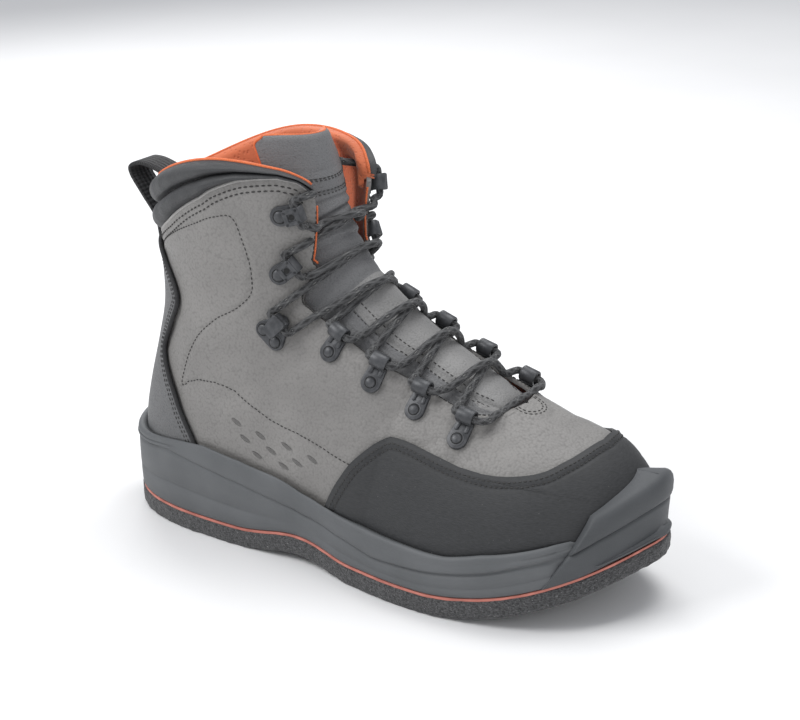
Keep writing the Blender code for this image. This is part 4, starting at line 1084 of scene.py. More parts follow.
for radius in (BASE_TAB - 0.0014, BASE_TAB - 0.0034):
    angles = np.linspace(-1.9, 1.9, 40)
    centre = on_last(0, THROAT_BASE - 0.004, 0.0)
    ring = centre + radius * np.stack([np.cos(angles), np.sin(angles), 0 * angles], -1)
    stitch(UPPER_SKIN, ring + (0, 0, 0.001))
raw = bmesh.new()
for side in (0, 1):
    t = np.linspace(0.185, 0.995, 120)
    tube(raw, settle(UPPER_SKIN, on_last(side, top_row(t), t), -0.0007)[0], 0.0010, 8)
piece("raw_top_edge", sewn(raw, 1e-7), [RAW_EDGE], ())
print(stitch_count, "stitches so far")

# %% [markdown]
# ## Collar
# The collar is foam in soft leather: two rolls with a stitched channel between them, and
# an orange lining that turns over the top and runs down inside. Its closed section is
# swept round the last from one side of the throat to the other. The rolls swell between
# the gathers, so the surface is pushed in and out a little along them.
# %% Sweep the collar
COLLAR_STATIONS, COLLAR_SAMPLES = 150, 5


def collar_profile(side, t):
    """Closed section of the collar at one station: rows r and how far out."""
    low = float(top_row(t))
    crest = 1.0 - 0.100 * float(rounded(t, 0.12))
    rise = crest - low
    plump = np.clip(rise / 0.05, 0.15, 1)
    thick = 0.0075 * (0.55 + 0.45 * plump) * (1 - 0.5 * float(rounded(t, 0.06)))
    skirt = 0.05 * plump + 0.012
    wall = UPPER_WALL + GAP * 3
    roll = 0.0032 * plump
    return np.array([
        (low - 0.006, -wall), (low + 0.002, -0.0010), (low + rise * 0.12, roll * 0.8),
        (low + rise * 0.27, roll * 1.15), (low + rise * 0.42, roll * 0.6), (low + rise * 0.50, -0.0014 * plump),
        (low + rise * 0.56, roll * 0.45), (low + rise * 0.70, roll), (low + rise * 0.84, roll * 0.75),
        (low + rise * 0.95, -0.0006), (crest, -thick * 0.45), (low + rise * 0.95, -thick * 0.88),
        (low + rise * 0.72, -thick * 1.12), (low + rise * 0.30, -thick * 1.15),
        (low - skirt * 0.35, -thick * 1.05), (low - skirt * 0.75, -wall - 0.0028), (low - skirt, -wall - 0.0004),
        (low - skirt * 0.7, -wall), (low - skirt * 0.3, -wall)])


def collar_sections():
    rings = []
    for k in np.linspace(-1, 1, COLLAR_STATIONS + 1):
        side = 0 if k < 0 else 1
        start = float(throat(side, 0.93))
        t = max(1 - (1 - start) * abs(k), start + 0.012)
        profile = spline(collar_profile(side, t), COLLAR_SAMPLES, closed=True)
        pull = 1 + 0.10 * sin(61 * k) * cos(23 * k + 1)
        lift = np.where(profile[:, 1] > 0, profile[:, 1] * pull, profile[:, 1])
        rings.append(on_last(side, np.minimum(profile[:, 0], 1.0), t, lift))
    return np.array(rings)


COLLAR = collar_sections()
around = COLLAR.shape[1]


collar_form = through(COLLAR)
LINED_FROM = COLLAR_SAMPLES * 9.6
for face in collar_form.faces:
    face.material_index = int(min(v.index % (around + 1) for v in face.verts) >= LINED_FROM)
for face in end_capped(collar_form, around + 2, 2e-5):
    face.material_index = 1
COLLAR_SKIN = skin_tree(collar_form)
collar = piece("padded_collar", collar_form, [PADDING, LINING], ["collar"])
stitch(COLLAR_SKIN, COLLAR[4:-4, COLLAR_SAMPLES * 5], 0.0030, 0.0020, 0.00040)
edge_trim = bmesh.new()
tube(edge_trim, settle(COLLAR_SKIN, COLLAR[1:-1, int(LINED_FROM) + 1], 0.0001)[0], 0.0008, 8)
piece("collar_piping", sewn(edge_trim, 1e-7), [PIPING], ())
print("collar:", len(collar.data.polygons), "faces")

# %% [markdown]
# ## Sole
# Felt, bond line and midsole share the sole's outline. Each layer is a row of closed
# sections from toe to heel: up one side, across, and down the other. The midsole's wall
# has a lip, two moulded grooves and a dark gap where the upper goes in.
# %% Helpers for the layers
LAYER_STATIONS = 200
STATION_SHARES = np.array([0.5 - 0.5 * cos(pi * k / LAYER_STATIONS) for k in range(LAYER_STATIONS + 1)])


def layer(sections):
    """Closed skin through the sections of a layer, from toe to heel."""
    return sewn(through(sections), 1e-6)


def across(first, last, steps):
    """Points strictly between two points."""
    shares = np.linspace(0, 1, steps + 2)[1:-1, None]
    return first + (last - first) * shares


def flat_layer(low, high, inset, corner, ruffle=0.0):
    sections = []
    for q in STATION_SHARES:
        sides = []
        for side in (0, 1):
            line = []
            for level, tuck in ((0.0, corner), (0.04, corner * 0.4), (0.12, 0), (0.3, 0), (0.5, 0), (0.7, 0),
                                (0.88, 0), (0.96, corner * 0.4), (1.0, corner)):
                x, y = outline(side, np.array(q), inset + tuck)
                z = low(x) + (high(x) - low(x)) * level
                wave = noise.noise(Vector((x * 260, y * 260, level * 2.3))) * ruffle
                x, y = outline(side, np.array(q), inset + tuck - wave)
                line.append((x - HEEL_SEAT, y, z))
            sides.append(np.array(line))
        one, two = sides
        sections.append(np.vstack([one, across(one[-1], two[-1], 10), two[::-1], across(two[0], one[0], 10)]))
    return layer(sections)


felt = piece("felt_sole", flat_layer(tread_height, lambda x: tread_height(x) + FELT + 0.0004,
                                     0.0003, 0.0012, 0.0007),
             [FELT_MAT], ["felt_outsole"])
bond = piece("bond_layer", flat_layer(lambda x: tread_height(x) + FELT - 0.0001,
                                      lambda x: tread_height(x) + FELT + BOND + 0.0002, 0.0009, 0.0003),
             [BOND_LINE], ["bond_strip"])
print("felt and bond:", len(felt.data.polygons), len(bond.data.polygons), "faces")

# %% [markdown]
# ### Midsole
# The wall's sections are pushed out until they clear the dressed upper, and the inner side
# is cast onto it. A boolean against the upper would leave ragged faces on thin lips.
# %% Midsole
body_parts = []
for side in (0, 1):
    body_parts.append(laid_grid(120, 60, lambda a, b, side=side:
                                lifted(side, a * 0.96, b, OVERLAY + 2 * GAP)))
BODY_TREE = skin_tree(facing_out(sewn(merged(body_parts), 6e-5)))
UNDER_BUMPER = (0.90, 0.93)


def wall_clear(place, way, wall):
    """Move a place outwards until it stands wall metres off the dressed upper."""
    for _ in range(5):
        near, normal, _, _ = BODY_TREE.find_nearest(place)
        depth = (place - near).length * (1 if (place - near).dot(normal) >= 0 else -1)
        if depth >= wall:
            break
        place = place + way * (wall - depth)
    return place


def midsole_wall(side, q, grow=0.0):
    """Outer wall of the midsole at one station, from the bond line to the lip."""
    x = outline(side, np.array(q))[0]
    share = x / SOLE_LENGTH
    groove = read(MIDSOLE_SIDE, share) * MIDSOLE_HEIGHT
    top = read(MIDSOLE_SIDE, share, 2) * MIDSOLE_HEIGHT
    under = np.interp(share, UNDER_BUMPER, [0, 1])
    base = FELT + BOND + 2 * GAP
    low_groove = base + (groove - base) * 0.42
    heel_relief = 0.0006 * blend(0.42, 0.30, share) + 0.0005 * blend(0.45, 0.55, share)
    levels = [(0.0012, base, 0), (0.0005, base + 0.0008, 0), (0.0003, base + (low_groove - base) * 0.6, 0),
              (0.0004, low_groove - 0.0009, 0), (0.0004 + heel_relief, low_groove, 0),
              (0.0003, low_groove + 0.0009, 0), (0.0004, (low_groove + groove) / 2, 1),
              (0.0006, groove - 0.0022, 1), (0.0009, groove - 0.0010, 1),
              (0.0019, groove - 0.0002, 0.7), (0.0016, groove + 0.0005, 0.7), (0.0003, groove + 0.0012, 1),
              (0.0000, groove + 0.0022, 1), (0.0004, (groove + top) / 2, 1), (0.0007, top - 0.0040, 0.9),
              (0.0004, top - 0.0026, 0.85), (0.0006, top - 0.0014, 0.75), (0.0012, top - 0.0005, 0.55),
              (0.0020, top, 0.35)]
    way = Vector((*(outline(side, np.array(q)) - outline(side, np.array(q), 1.0)), 0.0))
    line = []
    for inset, height, wall in levels:
        x, y = outline(side, np.array(q), inset + 0.0046 * under)
        spot = Vector((x - HEEL_SEAT, y, float(tread_height(x)) + height))
        if wall:
            spot = wall_clear(spot, way, wall * 0.0026 * (1 - 0.7 * under))
        line.append(np.array(spot + way * grow))
    return line, way


def midsole_section(q):
    sides = []
    for side in (0, 1):
        line, way = midsole_wall(side, q)
        lip = Vector(line[-1])
        foot = float(feather_height(outline(side, np.array(q))[0]))
        inner = []
        for drop in (0.0006, 0.0035, 0.010, 1.0):
            height = max(lip.z - drop, foot + 0.0004)
            hit = BODY_TREE.ray_cast(Vector((lip.x, lip.y, height)) + way * 0.02, -way, 0.06)[0]
            if hit is None:
                x, y = outline(side, np.array(q), FEATHER_INSET)
                hit = Vector((x - HEEL_SEAT, y, height))
            spot = hit + way * 0.00015
            if (spot - lip).dot(way) > -0.0003:
                spot = lip - way * 0.0003
            spot.z = height
            inner.append(np.array(spot))
        sides.append(np.array(line + inner))
    one, two = sides
    return np.vstack([one, across(one[-1], two[-1], 6), two[::-1], across(two[0], one[0], 10)])


midsole_form = layer([midsole_section(q) for q in STATION_SHARES])
midsole = piece("moulded_midsole", midsole_form, [FOAM], ["midsole"])
print("midsole:", len(midsole.data.polygons), "faces")

# %% [markdown]
# ### Toe bumper
# The bumper is a thick rubber band round the toe with a double ridge, a bevelled ledge
# at its tip and a slanting rear edge. A closed section is swept round the toe; its inner
# side follows the midsole low down and the toe cap higher up.
# %% Toe bumper
BUMPER_STATIONS = 120
# Share of the height, then the inset at the rear and at the tip
BUMPER_LEVELS = [(0.00, 0.0006, 0.0030), (0.04, -0.0003, 0.0022), (0.30, -0.0006, 0.0016),
                 (0.47, -0.0008, 0.0010), (0.52, -0.0006, 0.0008), (0.555, 0.0008, 0.0018),
                 (0.59, -0.0010, 0.0000), (0.66, -0.0014, -0.0006), (0.80, -0.0013, -0.0010),
                 (0.90, -0.0006, -0.0006), (0.955, 0.0006, 0.0004), (0.985, 0.0018, 0.0018),
                 (1.00, 0.0030, 0.0032)]


def bumper_section(k):
    side = 0 if k < 0 else 1
    outer, inner = [], []
    base = FELT + BOND + GAP / 2
    for share, rear, tip in BUMPER_LEVELS:
        q = float(share_at(side, 0.885 + 0.062 * share)) * abs(k)
        x = outline(side, np.array(q))[0]
        at_tip = np.interp(x / SOLE_LENGTH, [0.93, 1.0], [0, 1])
        inset = rear + (tip - rear) * at_tip
        if abs(k) > 0.985:
            inset += 0.0012 * blend(0.985, 1.0, abs(k))
        top = 0.043 * np.interp(x / SOLE_LENGTH, [0.92, 0.95, 1.0], [0.80, 0.90, 1.0])
        height = float(tread_height(x)) + base + (top - base) * share
        way = Vector((*(outline(side, np.array(q)) - outline(side, np.array(q), 1.0)), 0.0))
        x, y = outline(side, np.array(q), inset)
        spot = Vector((x - HEEL_SEAT, y, height))
        outer.append(np.array(spot))
        hit = BODY_TREE.ray_cast(spot + way * 0.02, -way, 0.06)[0]
        deepest = 0.0040 + 0.0100 * blend(0.5, 0.6, share)
        depth = 0.0040 if hit is None else min((spot - hit).dot(way) - 0.0002, deepest)
        inner.append(np.array(spot - way * max(depth, 0.0008)))
    return np.array(outer + inner[::-1])


sections = np.array([bumper_section(k) for k in np.linspace(-1, 1, BUMPER_STATIONS + 1)])
count = sections.shape[1]
bumper_form = through(sections)
end_capped(bumper_form, count + 2)
piece("rubber_toe_bumper", bumper_form, [BUMPER_RUBBER], ["toe_bumper"], radians(60))
print("bumper:", count, "points round its section")

# %% [markdown]
# ### Footbed
# The footbed lies inside, seen only down the shaft: an orange knit pad with a rounded
# edge that dips at the heel.
# %% Footbed
def footbed_section(q):
    sides = []
    for side in (0, 1):
        line = []
        for inset, rise in ((0.0, 0.0011), (-0.0001, 0.0025), (0.0008, 0.0040), (0.0030, 0.0049)):
            x, y = outline(side, np.array(q), FEATHER_INSET + UPPER_WALL + 0.0013 + inset)
            line.append((x - HEEL_SEAT, y, float(feather_height(x)) + rise))
        sides.append(np.array(line))
    one, two = sides
    return np.vstack([one, across(one[-1], two[-1], 8), two[::-1], across(two[0], one[0], 8)])


footbed = piece("knit_footbed", layer([footbed_section(q) for q in STATION_SHARES[2:-2:2]]),
                [LINING], ["insole"])
print("footbed:", len(footbed.data.polygons), "faces")

# %% [markdown]
# ## Tongue
# The tongue is a padded flap under the lace. Low down it carries a raised pad of pale
# leather between darker gussets; over the ankle it folds; above the hooks it is smooth,
# with two stitched bands, and its back is lined in orange.
# %% Lay the tongue
TONGUE_LOW, TONGUE_HIGH = THROAT_BASE - 0.012, 1.2
TONGUE_ROWS, TONGUE_ROUND = 190, 112
PAD_TOP = 0.645


def tongue_spot(r, v, grow=0.0):
    """Outer surface of the tongue: r up the throat, v from -1 lateral to 1 medial."""
    r, v, grow = np.broadcast_arrays(*(np.asarray(s, float) for s in (r, v, grow)))
    foot = np.minimum(r, 1.0)
    spots = np.zeros(r.shape + (3,))
    for side in (0, 1):
        edge = read(THROAT, foot) * (1 if side == 0 else 0.92)
        half = edge + 0.075
        share = np.maximum(edge, 0.02) / half
        sunk = -(UPPER_WALL + 0.0009 * np.interp(foot, [THROAT_BASE, THROAT_BASE + 0.05], [2, 1]))
        swell = np.interp(foot, [THROAT_BASE + 0.008, THROAT_BASE + 0.05], [0, 1])
        crown = 0.0030 * swell * (1 - np.clip(np.abs(v) / (share * 0.9), 0, 1) ** 2) ** 2
        found = on_last(side, foot, np.abs(v) * half, sunk + crown + grow)
        spots = np.where((v < 0)[..., None] if side == 0 else (v >= 0)[..., None], found, spots)
    lean = np.interp(r, [0.66, 0.74, 0.86, 1.0, 1.2], [0, 0.20, 0.52, 0.76, 1.0])
    rise = 0.017 * np.maximum(r - 1.0, 0.0) / 0.2 * (1.05 - 0.35 * (v + 0.3) ** 2)
    return spots + np.stack([-0.024 * lean, 0 * r, rise], -1)


def pad_width(r):
    """Half width of the pale pad, as a share of the tongue's."""
    return np.interp(r, [0.36, 0.42, 0.72], [0.30, 0.46, 0.52])


def tongue_relief(r, v):
    """Pads, folds and seams of the tongue's outside."""
    width = pad_width(r)
    ends = blend(0.375, 0.395, r) * (1 - blend(PAD_TOP - 0.015, PAD_TOP + 0.005, r))
    lift = 0.0012 * (1 - blend(width - 0.03, width + 0.01, np.abs(v))) * ends
    low_part = blend(0.375, 0.395, r) * (1 - blend(PAD_TOP - 0.01, PAD_TOP + 0.02, r))
    for offset, height in ((0.035, -0.0007), (0.075, 0.0010), (0.115, -0.0007),
                           (0.155, 0.0008), (0.195, -0.0006)):
        lift += height * np.exp(-((np.abs(v) - width - offset) / 0.016) ** 2) * low_part
    for fold, depth in ((0.738, 0.0010), (0.762, 0.0008), (0.792, 0.0011), (0.822, 0.0006)):
        bend = fold + 0.010 * np.sin(2.2 * v + fold * 40)
        lift -= depth * np.exp(-((r - bend) / 0.0065) ** 2)
        lift += depth * 0.5 * np.exp(-((r - bend - 0.012) / 0.008) ** 2)
    for seam in (0.862, 0.930):
        lift -= 0.0005 * np.exp(-((r - seam) / 0.0035) ** 2)
    lift += 0.0009 * blend(0.94, 1.02, r) * (1 - (np.abs(v)) ** 2)
    return lift


def tongue_width(r):
    narrow = np.interp(r, [TONGUE_LOW, THROAT_BASE + 0.04, 0.9, 1.2], [0.7, 1.0, 0.97, 0.97])
    return narrow * (1 - 0.16 * blend(1.12, 1.20, r) ** 2)


def tongue_place(a, b):
    r = TONGUE_LOW + (TONGUE_HIGH - TONGUE_LOW) * a
    front = b <= 0.5
    s = np.where(front, -1 + 4 * b, 3 - 4 * b)
    s = np.sin(s * pi / 2) * 0.35 + s * 0.65
    v = s * tongue_width(r)
    edge = np.sqrt(np.clip(1 - s ** 8, 0, 1))
    end = np.sqrt(np.clip(1 - np.clip((r - 1.165) / 0.035, 0, 1) ** 2, 0, 1))
    grow = np.where(front, tongue_relief(r, v), -0.0048 * edge * end) - 0.0018 * (1 - end)
    return tongue_spot(r, v, grow)


tongue_form = laid_grid(TONGUE_ROWS, TONGUE_ROUND, tongue_place)
for face in tongue_form.faces:
    a, b = np.mean([divmod(v.index, TONGUE_ROUND + 1) for v in face.verts], axis=0)
    r, b = TONGUE_LOW + (TONGUE_HIGH - TONGUE_LOW) * a / TONGUE_ROWS, b / TONGUE_ROUND
    on_pad = b < 0.5 and abs(b - 0.25) < 0.118 and 0.38 < r < PAD_TOP
    face.material_index = 1 if b > 0.5 else 2 if on_pad else 0
end_capped(tongue_form, 200, 2e-5)
TONGUE_SKIN = skin_tree(tongue_form)
tongue = piece("padded_tongue", tongue_form, [TONGUE_LEATHER, LINING, TONGUE_PAD], ["tongue"])
for seam in (0.857, 0.868, 0.925, 0.937):
    v = np.linspace(-0.86, 0.86, 60)
    stitch(TONGUE_SKIN, tongue_spot(seam, v, 0.0005))
for way in (-1, 1):
    for offset in (-0.06, 0.05):
        r = np.linspace(0.395, PAD_TOP - 0.015, 90)
        stitch(TONGUE_SKIN, tongue_spot(r, way * (pad_width(r) + offset), 0.001))
trim = bmesh.new()
r = np.concatenate([np.linspace(0.95, 1.19, 40), np.full(50, 1.195), np.linspace(1.19, 0.95, 40)])
v = np.concatenate([-tongue_width(r[:40]), np.linspace(-1, 1, 52)[1:-1] * tongue_width(1.195),
                    tongue_width(r[-40:])])
tube(trim, tongue_spot(r, v * 1.006, -0.0014), 0.00075, 8)
piece("tongue_piping", sewn(trim, 1e-7), [PIPING], ())
print("tongue:", len(tongue.data.polygons), "faces")

# %% [markdown]
# ## Piping and pull loop
# Thin orange piping shows along the eyestay's edge. The pull loop is one strap of ribbed
# webbing, bent over the back of the collar and sewn down on the heel seam.
# %% Piping and webbing
stay = bmesh.new()
for side in (0, 1):
    rows = np.linspace(0.725, 0.892, 60)
    t = throat(side, rows)
    tube(stay, lifted(side, bent_row(rows, t), t - 0.006, -0.0016), 0.0006, 8)
piece("eyestay_piping", sewn(stay, 1e-7), [PIPING], ())

PULL_LOOP = [(0.62, -0.55), (0.97, -0.05), (1.00, 0.12), (0.80, 0.26), (0.45, 0.27), (0.15, 0.20),
             (-0.17, 0.085)]
REACH, WEB_WIDTH, WEB_THICK = 0.020, 0.016, 0.0020


def swept(route, sideways, profile, turns):
    """Closed skin of a profile carried along a route that bends in one plane."""
    runs = unit(np.gradient(route, axis=0))
    over = np.cross(runs, sideways)
    sections = np.array([spot + profile[:, :1] * sideways + profile[:, 1:] * lift
                         for spot, lift in zip(route, over)])
    bm = through(sections, turns)
    end_capped(bm, len(profile) + 2)
    return bm


half = WEB_THICK / 2
foot = on_last(0, 0.912, 1.0, OVERLAY + 2 * GAP + half)
over_roll = on_last(0, TOP_ROW * 0.74 + 0.26, 1.0, 0.0030 + GAP + half)
crest = on_last(0, 1.0, 1.0)
bends = [(crest[0] - b * REACH, 0, crest[2] + u * REACH) for b, u in PULL_LOOP]
route = spline([(foot[0], 0, foot[2]), (over_roll[0], 0, over_roll[2]), *bends], 9)
corners = [(-1, -0.4), (-0.96, -1), (-0.5, -1), (0, -1), (0.5, -1), (0.96, -1), (1, -0.4),
           (1, 0.4), (0.96, 1), (0.5, 1), (0, 1), (-0.5, 1), (-0.96, 1), (-1, 0.4)]
profile = np.array(corners) * (WEB_WIDTH / 2, half)
webbing = piece("webbing_pull_loop", swept(route, np.array([0, 1.0, 0]), profile, (1, 1)),
                [WEBBING], ["pull_loop"])
print("pull loop:", len(webbing.data.polygons), "faces")

# %% [markdown]
# ## Lace hardware
# Four riveted loops on each side, a locking hook at the ankle and two open hooks above.
# Each is built flat in its own small frame: x towards the throat, z out of the leather.
# Plates are convex hulls of a few circles; rivets and washers are turned by spin; the
# loop's eye is a strip bent round the lace. A near-black ring round each rivet's dome
# and a near-black disc on each open hook are painted shadow.
# %% Hardware parts
HARDWARE = [("loop_1", 0.404, 0.406, 0.404, 0.375), ("loop_2", 0.474, 0.415, 0.474, 0.380),
            ("loop_3", 0.542, 0.405, 0.542, 0.375), ("loop_4", 0.612, 0.411, 0.612, 0.385),
            ("lock_hook", 0.692, 0.470, 0.692, 0.440), ("hook_2", 0.759, 0.285, 0.759, 0.270),
            ("hook_1", 0.862, 0.295, 0.862, 0.275)]
LOOP_ARM, HOOK_ARM, EYE_RADIUS, PLATE = 0.0115, 0.0095, 0.0034, 0.0011


def plate(bm, circles, low, high, edge=0.0004):
    """Plate over a few circles (x, y, radius), with a rounded top edge."""
    made = []
    for height, shrink in ((low, 0), (high - edge, 0), (high - edge * 0.3, edge * 0.3), (high, edge)):
        for x, y, radius in circles:
            ring = bmesh.ops.create_circle(bm, segments=20, radius=radius - shrink,
                                           matrix=Matrix.Translation((x, y, height)))
            made += ring["verts"]
    hull = bmesh.ops.convex_hull(bm, input=made)
    spare = [v for v in hull["geom_interior"] + hull["geom_unused"] if isinstance(v, bmesh.types.BMVert)]
    bmesh.ops.delete(bm, geom=list({v for v in spare if v.is_valid}), context="VERTS")


def turned(bm, profile, x=0.0, y=0.0, finish=0):
    """Round part spun from a profile of (radius, height)."""
    before = set(bm.faces)
    points = [bm.verts.new((x + radius, y, height)) for radius, height in profile]
    edges = [bm.edges.new(pair) for pair in zip(points, points[1:])]
    bmesh.ops.spin(bm, geom=points + edges, cent=(x, y, 0), axis=(0, 0, 1), angle=2 * pi, steps=24,
                   use_merge=True)
    for face in set(bm.faces) - before:
        face.material_index = finish


def rivet(bm, base, radius, x=0.0, y=0.0):
    turned(bm, [(radius * 1.42, base), (radius * 1.42, base + 0.00025), (radius * 1.12, base + 0.00030)],
           x, y, 0)
    # A flat near-black ring round the dome's foot is painted shadow.
    turned(bm, [(radius * 1.16, base + 0.00034), (radius * 0.98, base + 0.00034)], x, y, 1)
    dome = [(radius * cos(a), base + 0.0004 + radius * 0.42 * sin(a)) for a in np.linspace(0, pi / 2, 7)]
    turned(bm, [(radius, base)] + dome, x, y, 0)


def bent_strip(bm, arm, sweep, width, thickness=0.0011):
    """Strip that lies flat and then curls over into an eye."""
    angles = np.linspace(0, sweep, 22)
    line = [(arm - 0.003, 0.0)] + [(arm + EYE_RADIUS * sin(a), EYE_RADIUS * (1 - cos(a))) for a in angles]
    line = np.array([(x, 0, z + PLATE / 2) for x, z in line])
    corners = np.array([(-1, -0.6), (-0.92, -1), (0, -1), (0.92, -1), (1, -0.6), (1, 0.6), (0.92, 1), (0, 1),
                        (-0.92, 1), (-1, 0.6)]) * (width / 2, thickness / 2)
    strip = swept(line, np.array([0, 1.0, 0]), corners, None)
    mesh = bpy.data.meshes.new("strip")
    strip.to_mesh(mesh)
    strip.free()
    bm.from_mesh(mesh)
    bpy.data.meshes.remove(mesh)


def lace_loop(bm):
    plate(bm, [(0, 0, 0.0051), (LOOP_ARM - 0.0012, 0.0033, 0.0010), (LOOP_ARM - 0.0012, -0.0033, 0.0010)],
          -0.0004, 0.0014)
    for y in (-1, 1):
        plate(bm, [(0.0048, y * 0.0027, 0.0010), (LOOP_ARM, y * 0.0024, 0.0011)], 0.0, 0.0022, 0.0005)
    bent_strip(bm, LOOP_ARM, 1.72 * pi, 0.0086, 0.0013)
    rivet(bm, 0.0014, 0.0026)


def open_hook(bm):
    plate(bm, [(0, 0, 0.0052), (HOOK_ARM - 0.001, 0.0028, 0.0014), (HOOK_ARM - 0.001, -0.0028, 0.0014)],
          -0.0004, 0.0013)
    bent_strip(bm, HOOK_ARM, 1.02 * pi, 0.0080, 0.0013)
    top = 2 * EYE_RADIUS + PLATE / 2
    frame = [(HOOK_ARM + 0.0008, -0.0031), (HOOK_ARM + 0.0008, 0.0031),
             (HOOK_ARM - 0.0052, 0.0031), (HOOK_ARM - 0.0052, -0.0031)]
    for one, two in zip(frame, frame[1:] + frame[:1]):
        plate(bm, [(*one, 0.0012), (*two, 0.0012)], top - 0.0007, top + 0.0009, 0.0005)
    plate(bm, [(HOOK_ARM - 0.0040, 0.0020, 0.0012), (HOOK_ARM - 0.0040, -0.0020, 0.0012),
               (HOOK_ARM - 0.0004, 0.0020, 0.0012), (HOOK_ARM - 0.0004, -0.0020, 0.0012)],
          top - 0.0006, top + 0.0002)
    # A flat near-black disc on the top plate is painted shadow.
    turned(bm, [(0.0015, top + 0.00032), (0.00001, top + 0.00032)], HOOK_ARM - 0.0022, 0.0, 1)
    rivet(bm, 0.0013, 0.0031)


def locking_hook(bm):
    plate(bm, [(-0.0006, 0.0044, 0.0045), (-0.0006, -0.0044, 0.0045), (HOOK_ARM, 0.0, 0.0036)],
          -0.0006, 0.0013)
    bent_strip(bm, HOOK_ARM, 1.02 * pi, 0.0078, 0.0014)
    top = 2 * EYE_RADIUS + PLATE / 2
    plate(bm, [(HOOK_ARM + 0.0020, 0.0024, 0.0019), (HOOK_ARM + 0.0020, -0.0024, 0.0019),
               (HOOK_ARM - 0.0058, 0.0020, 0.0017), (HOOK_ARM - 0.0058, -0.0020, 0.0017)],
          top - 0.0008, top + 0.0012, 0.0007)
    for y in (-0.0044, 0.0044):
        rivet(bm, 0.0013, 0.0028, -0.0006, y)


def seat(side, r, t):
    """Frame of a bracket on the last: x to the throat, z out, clear of the leather."""
    spot = Vector(on_last(side, r, t))
    inward = Vector(on_last(side, r, t - 0.004) - on_last(side, r, t + 0.004)).normalized()
    upward = Vector(on_last(side, r + 0.004, t) - on_last(side, r - 0.004, t))
    normal = inward.cross(upward).normalized()
    if normal.dot(Vector(outward(side, np.array(r), np.array(t)))) < 0:
        normal = -normal
    rise = max((Vector(on_last(side, r + dr, t + dt)) - spot).dot(normal)
               for dr in (-0.016, 0, 0.016) for dt in (-0.05, 0, 0.02))
    turn = Matrix((inward, normal.cross(inward), normal)).transposed().to_4x4()
    return Matrix.Translation(spot + normal * (2 * GAP + rise)) @ turn


SEATS = {}
for entry in HARDWARE:
    for side, label in ((0, "lateral"), (1, "medial")):
        frame_here = seat(side, entry[1 + 2 * side], entry[2 + 2 * side])
        SEATS[entry[0], side] = frame_here
        part = bmesh.new()
        kind = (lace_loop if entry[0].startswith("loop") else
                locking_hook if entry[0] == "lock_hook" else open_hook)
        kind(part)
        bmesh.ops.remove_doubles(part, verts=part.verts, dist=1e-6)
        bmesh.ops.recalc_face_normals(part, faces=part.faces)
        bmesh.ops.transform(part, matrix=frame_here, verts=part.verts)
        piece(f"metal_{entry[0]}_{label}", part, [METAL, SHADOW], [f"{entry[0]}_{label}"],
              radians(40))
print(len(SEATS), "brackets")

# %% [markdown]
# ## Lace
# One round braided lace runs from one top hook down through every eye, across the bar
# at the bottom and up the other side. Its route is a chain of passes: straight through
# an eye, then over the tongue to the other side. Where two passes cross, one rides a
# lace's thickness higher. A swept curve object would do for the tube, but a grid through
# turned sections carries the braid's UV map. The ends go into the tongue's edges.
# %% Route and sweep the lace
LACE, LACE_SIDES, BRAID_REPEAT = 0.0019, 12, 0.0042
ground = bmesh.new()
ground.from_mesh(upper_leather.data)
ground.from_mesh(tongue.data)
UNDER = skin_tree(ground)
ground.free()
TONGUE_LINE = tongue_spot(np.linspace(0.34, 1.0, 100), 0.0)


def eye(name, side):
    """Middle of an eye and the direction up the row through it."""
    seated = SEATS[name, side]
    arm = LOOP_ARM if name.startswith("loop") else HOOK_ARM
    middle = seated @ Vector((arm, 0, EYE_RADIUS + PLATE / 2))
    run = (seated.to_3x3() @ Vector((0, 1, 0))).normalized()
    return middle, run if run.z > 0 else -run


def off_tongue(start, end):
    """Direction away from the tongue, square to a pass and to the throat."""
    middle = np.argmin(np.linalg.norm(TONGUE_LINE - np.array(start.lerp(end, 0.5)), axis=1))
    middle = int(np.clip(middle, 3, len(TONGUE_LINE) - 4))
    way = (end - start).cross(Vector(TONGUE_LINE[middle + 3] - TONGUE_LINE[middle - 3])).normalized()
    return way if way.x + way.z > 0 else -way


def stood_off(spot, wanted, way):
    """The spot, moved out until it stands clear of upper and tongue."""
    hit = UNDER.ray_cast(spot + way * 0.05, -way, 0.12)[0]
    if hit is not None:
        spot = spot + way * max(wanted - (spot - hit).dot(way), 0)
    for _ in range(3):
        near, normal, _, _ = UPPER_SKIN.find_nearest(spot)
        height = (spot - near).dot(normal)
        if -0.012 < height < wanted and (spot - near - normal * height).length < 0.0008:
            spot = spot + normal * (wanted - height)
    return spot


def crossing(start, end, over):
    """Points of one pass between two eyes, over the tongue."""
    way = off_tongue(start, end)
    points = []
    for share in (0.07, 0.16, 0.28, 0.4, 0.5, 0.6, 0.72, 0.84, 0.93):
        wanted = LACE + 0.0007 + (2 * LACE + 0.0007) * over * exp(-((share - 0.5) / 0.17) ** 2)
        points.append(stood_off(start.lerp(end, share), wanted, way))
    return points


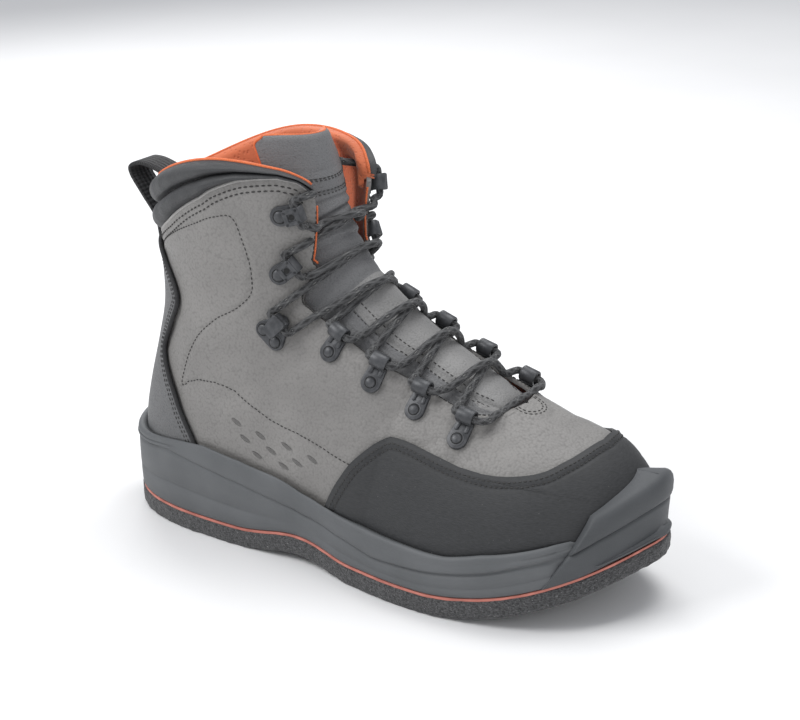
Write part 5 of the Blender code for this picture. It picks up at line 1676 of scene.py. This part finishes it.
def strand(side):
    """Half of the lace, from its bottom eye to its top hook."""
    points = []
    for k, entry in enumerate(HARDWARE):
        middle, run = eye(entry[0], side)
        low, high = middle - run * 0.0066, middle + run * 0.0066
        if k:
            points += crossing(points[-1], low, 1 if side == 0 else 0)
        points += [low, middle, high]
        side = 1 - side
    return points


lateral_run, medial_run = strand(0), strand(1)
bar_ends = [eye("loop_1", side)[0] - eye("loop_1", side)[1] * 0.0110 for side in (0, 1)]
bar = crossing(lateral_run[0] * 0.3 + bar_ends[0] * 0.7, medial_run[0] * 0.3 + bar_ends[1] * 0.7, 0)
hook_out = [run[-1] for run in (lateral_run, medial_run)]
top_way = off_tongue(*hook_out)
lateral_end = [stood_off(hook_out[0].lerp(Vector(tongue_spot(0.90, -0.50)), s), LACE + 0.0006, top_way)
               for s in (0.25, 0.5)]
lateral_end += [Vector(tongue_spot(0.905, -0.62, 0.0026)), Vector(tongue_spot(0.91, -0.68, -0.0022))]
medial_end = [stood_off(hook_out[1].lerp(Vector(tongue_spot(0.93, 0.72)), s), LACE + 0.0006, top_way)
              for s in (0.3, 0.6)]
medial_end += [Vector(tongue_spot(0.935, 0.76, 0.0024)), Vector(tongue_spot(0.945, 0.70, -0.0022))]
whole = lateral_end[::-1] + lateral_run[::-1] + bar + medial_run + medial_end
route = spline([tuple(p) for p in whole], 4)
length = float(np.linalg.norm(np.diff(route, axis=0), axis=1).sum())
sections, over = [], Vector((0.013, 0.021, 1))
for spot, run in zip(route, np.gradient(route, axis=0)):
    run = Vector(run).normalized()
    aside = run.cross(over).normalized()
    over = aside.cross(run)
    sections.append([spot + LACE * (cos(a) * np.array(aside) + sin(a) * np.array(over))
                     for a in np.linspace(0, 2 * pi, LACE_SIDES + 1)[:-1]])
lace_form = through(sections, (length / BRAID_REPEAT, 1))
end_capped(lace_form, LACE_SIDES + 2)
lace = piece("braided_lace", lace_form, [CORD], ["lace"])
print("lace:", round(length, 3), "m,", len(route), "points")

# %% [markdown]
# ## Stitches and sizes
# All stitches become one piece, since they share a thread.
# %% Stitches and sizes
piece("stitches", merged(STITCH_ROWS), [THREAD], ())
bpy.context.view_layer.update()
size = {"cad": [list(corner) for corner in CAD_BOX], "visual": [list(corner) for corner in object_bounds()]}
print("visual box", size["visual"])
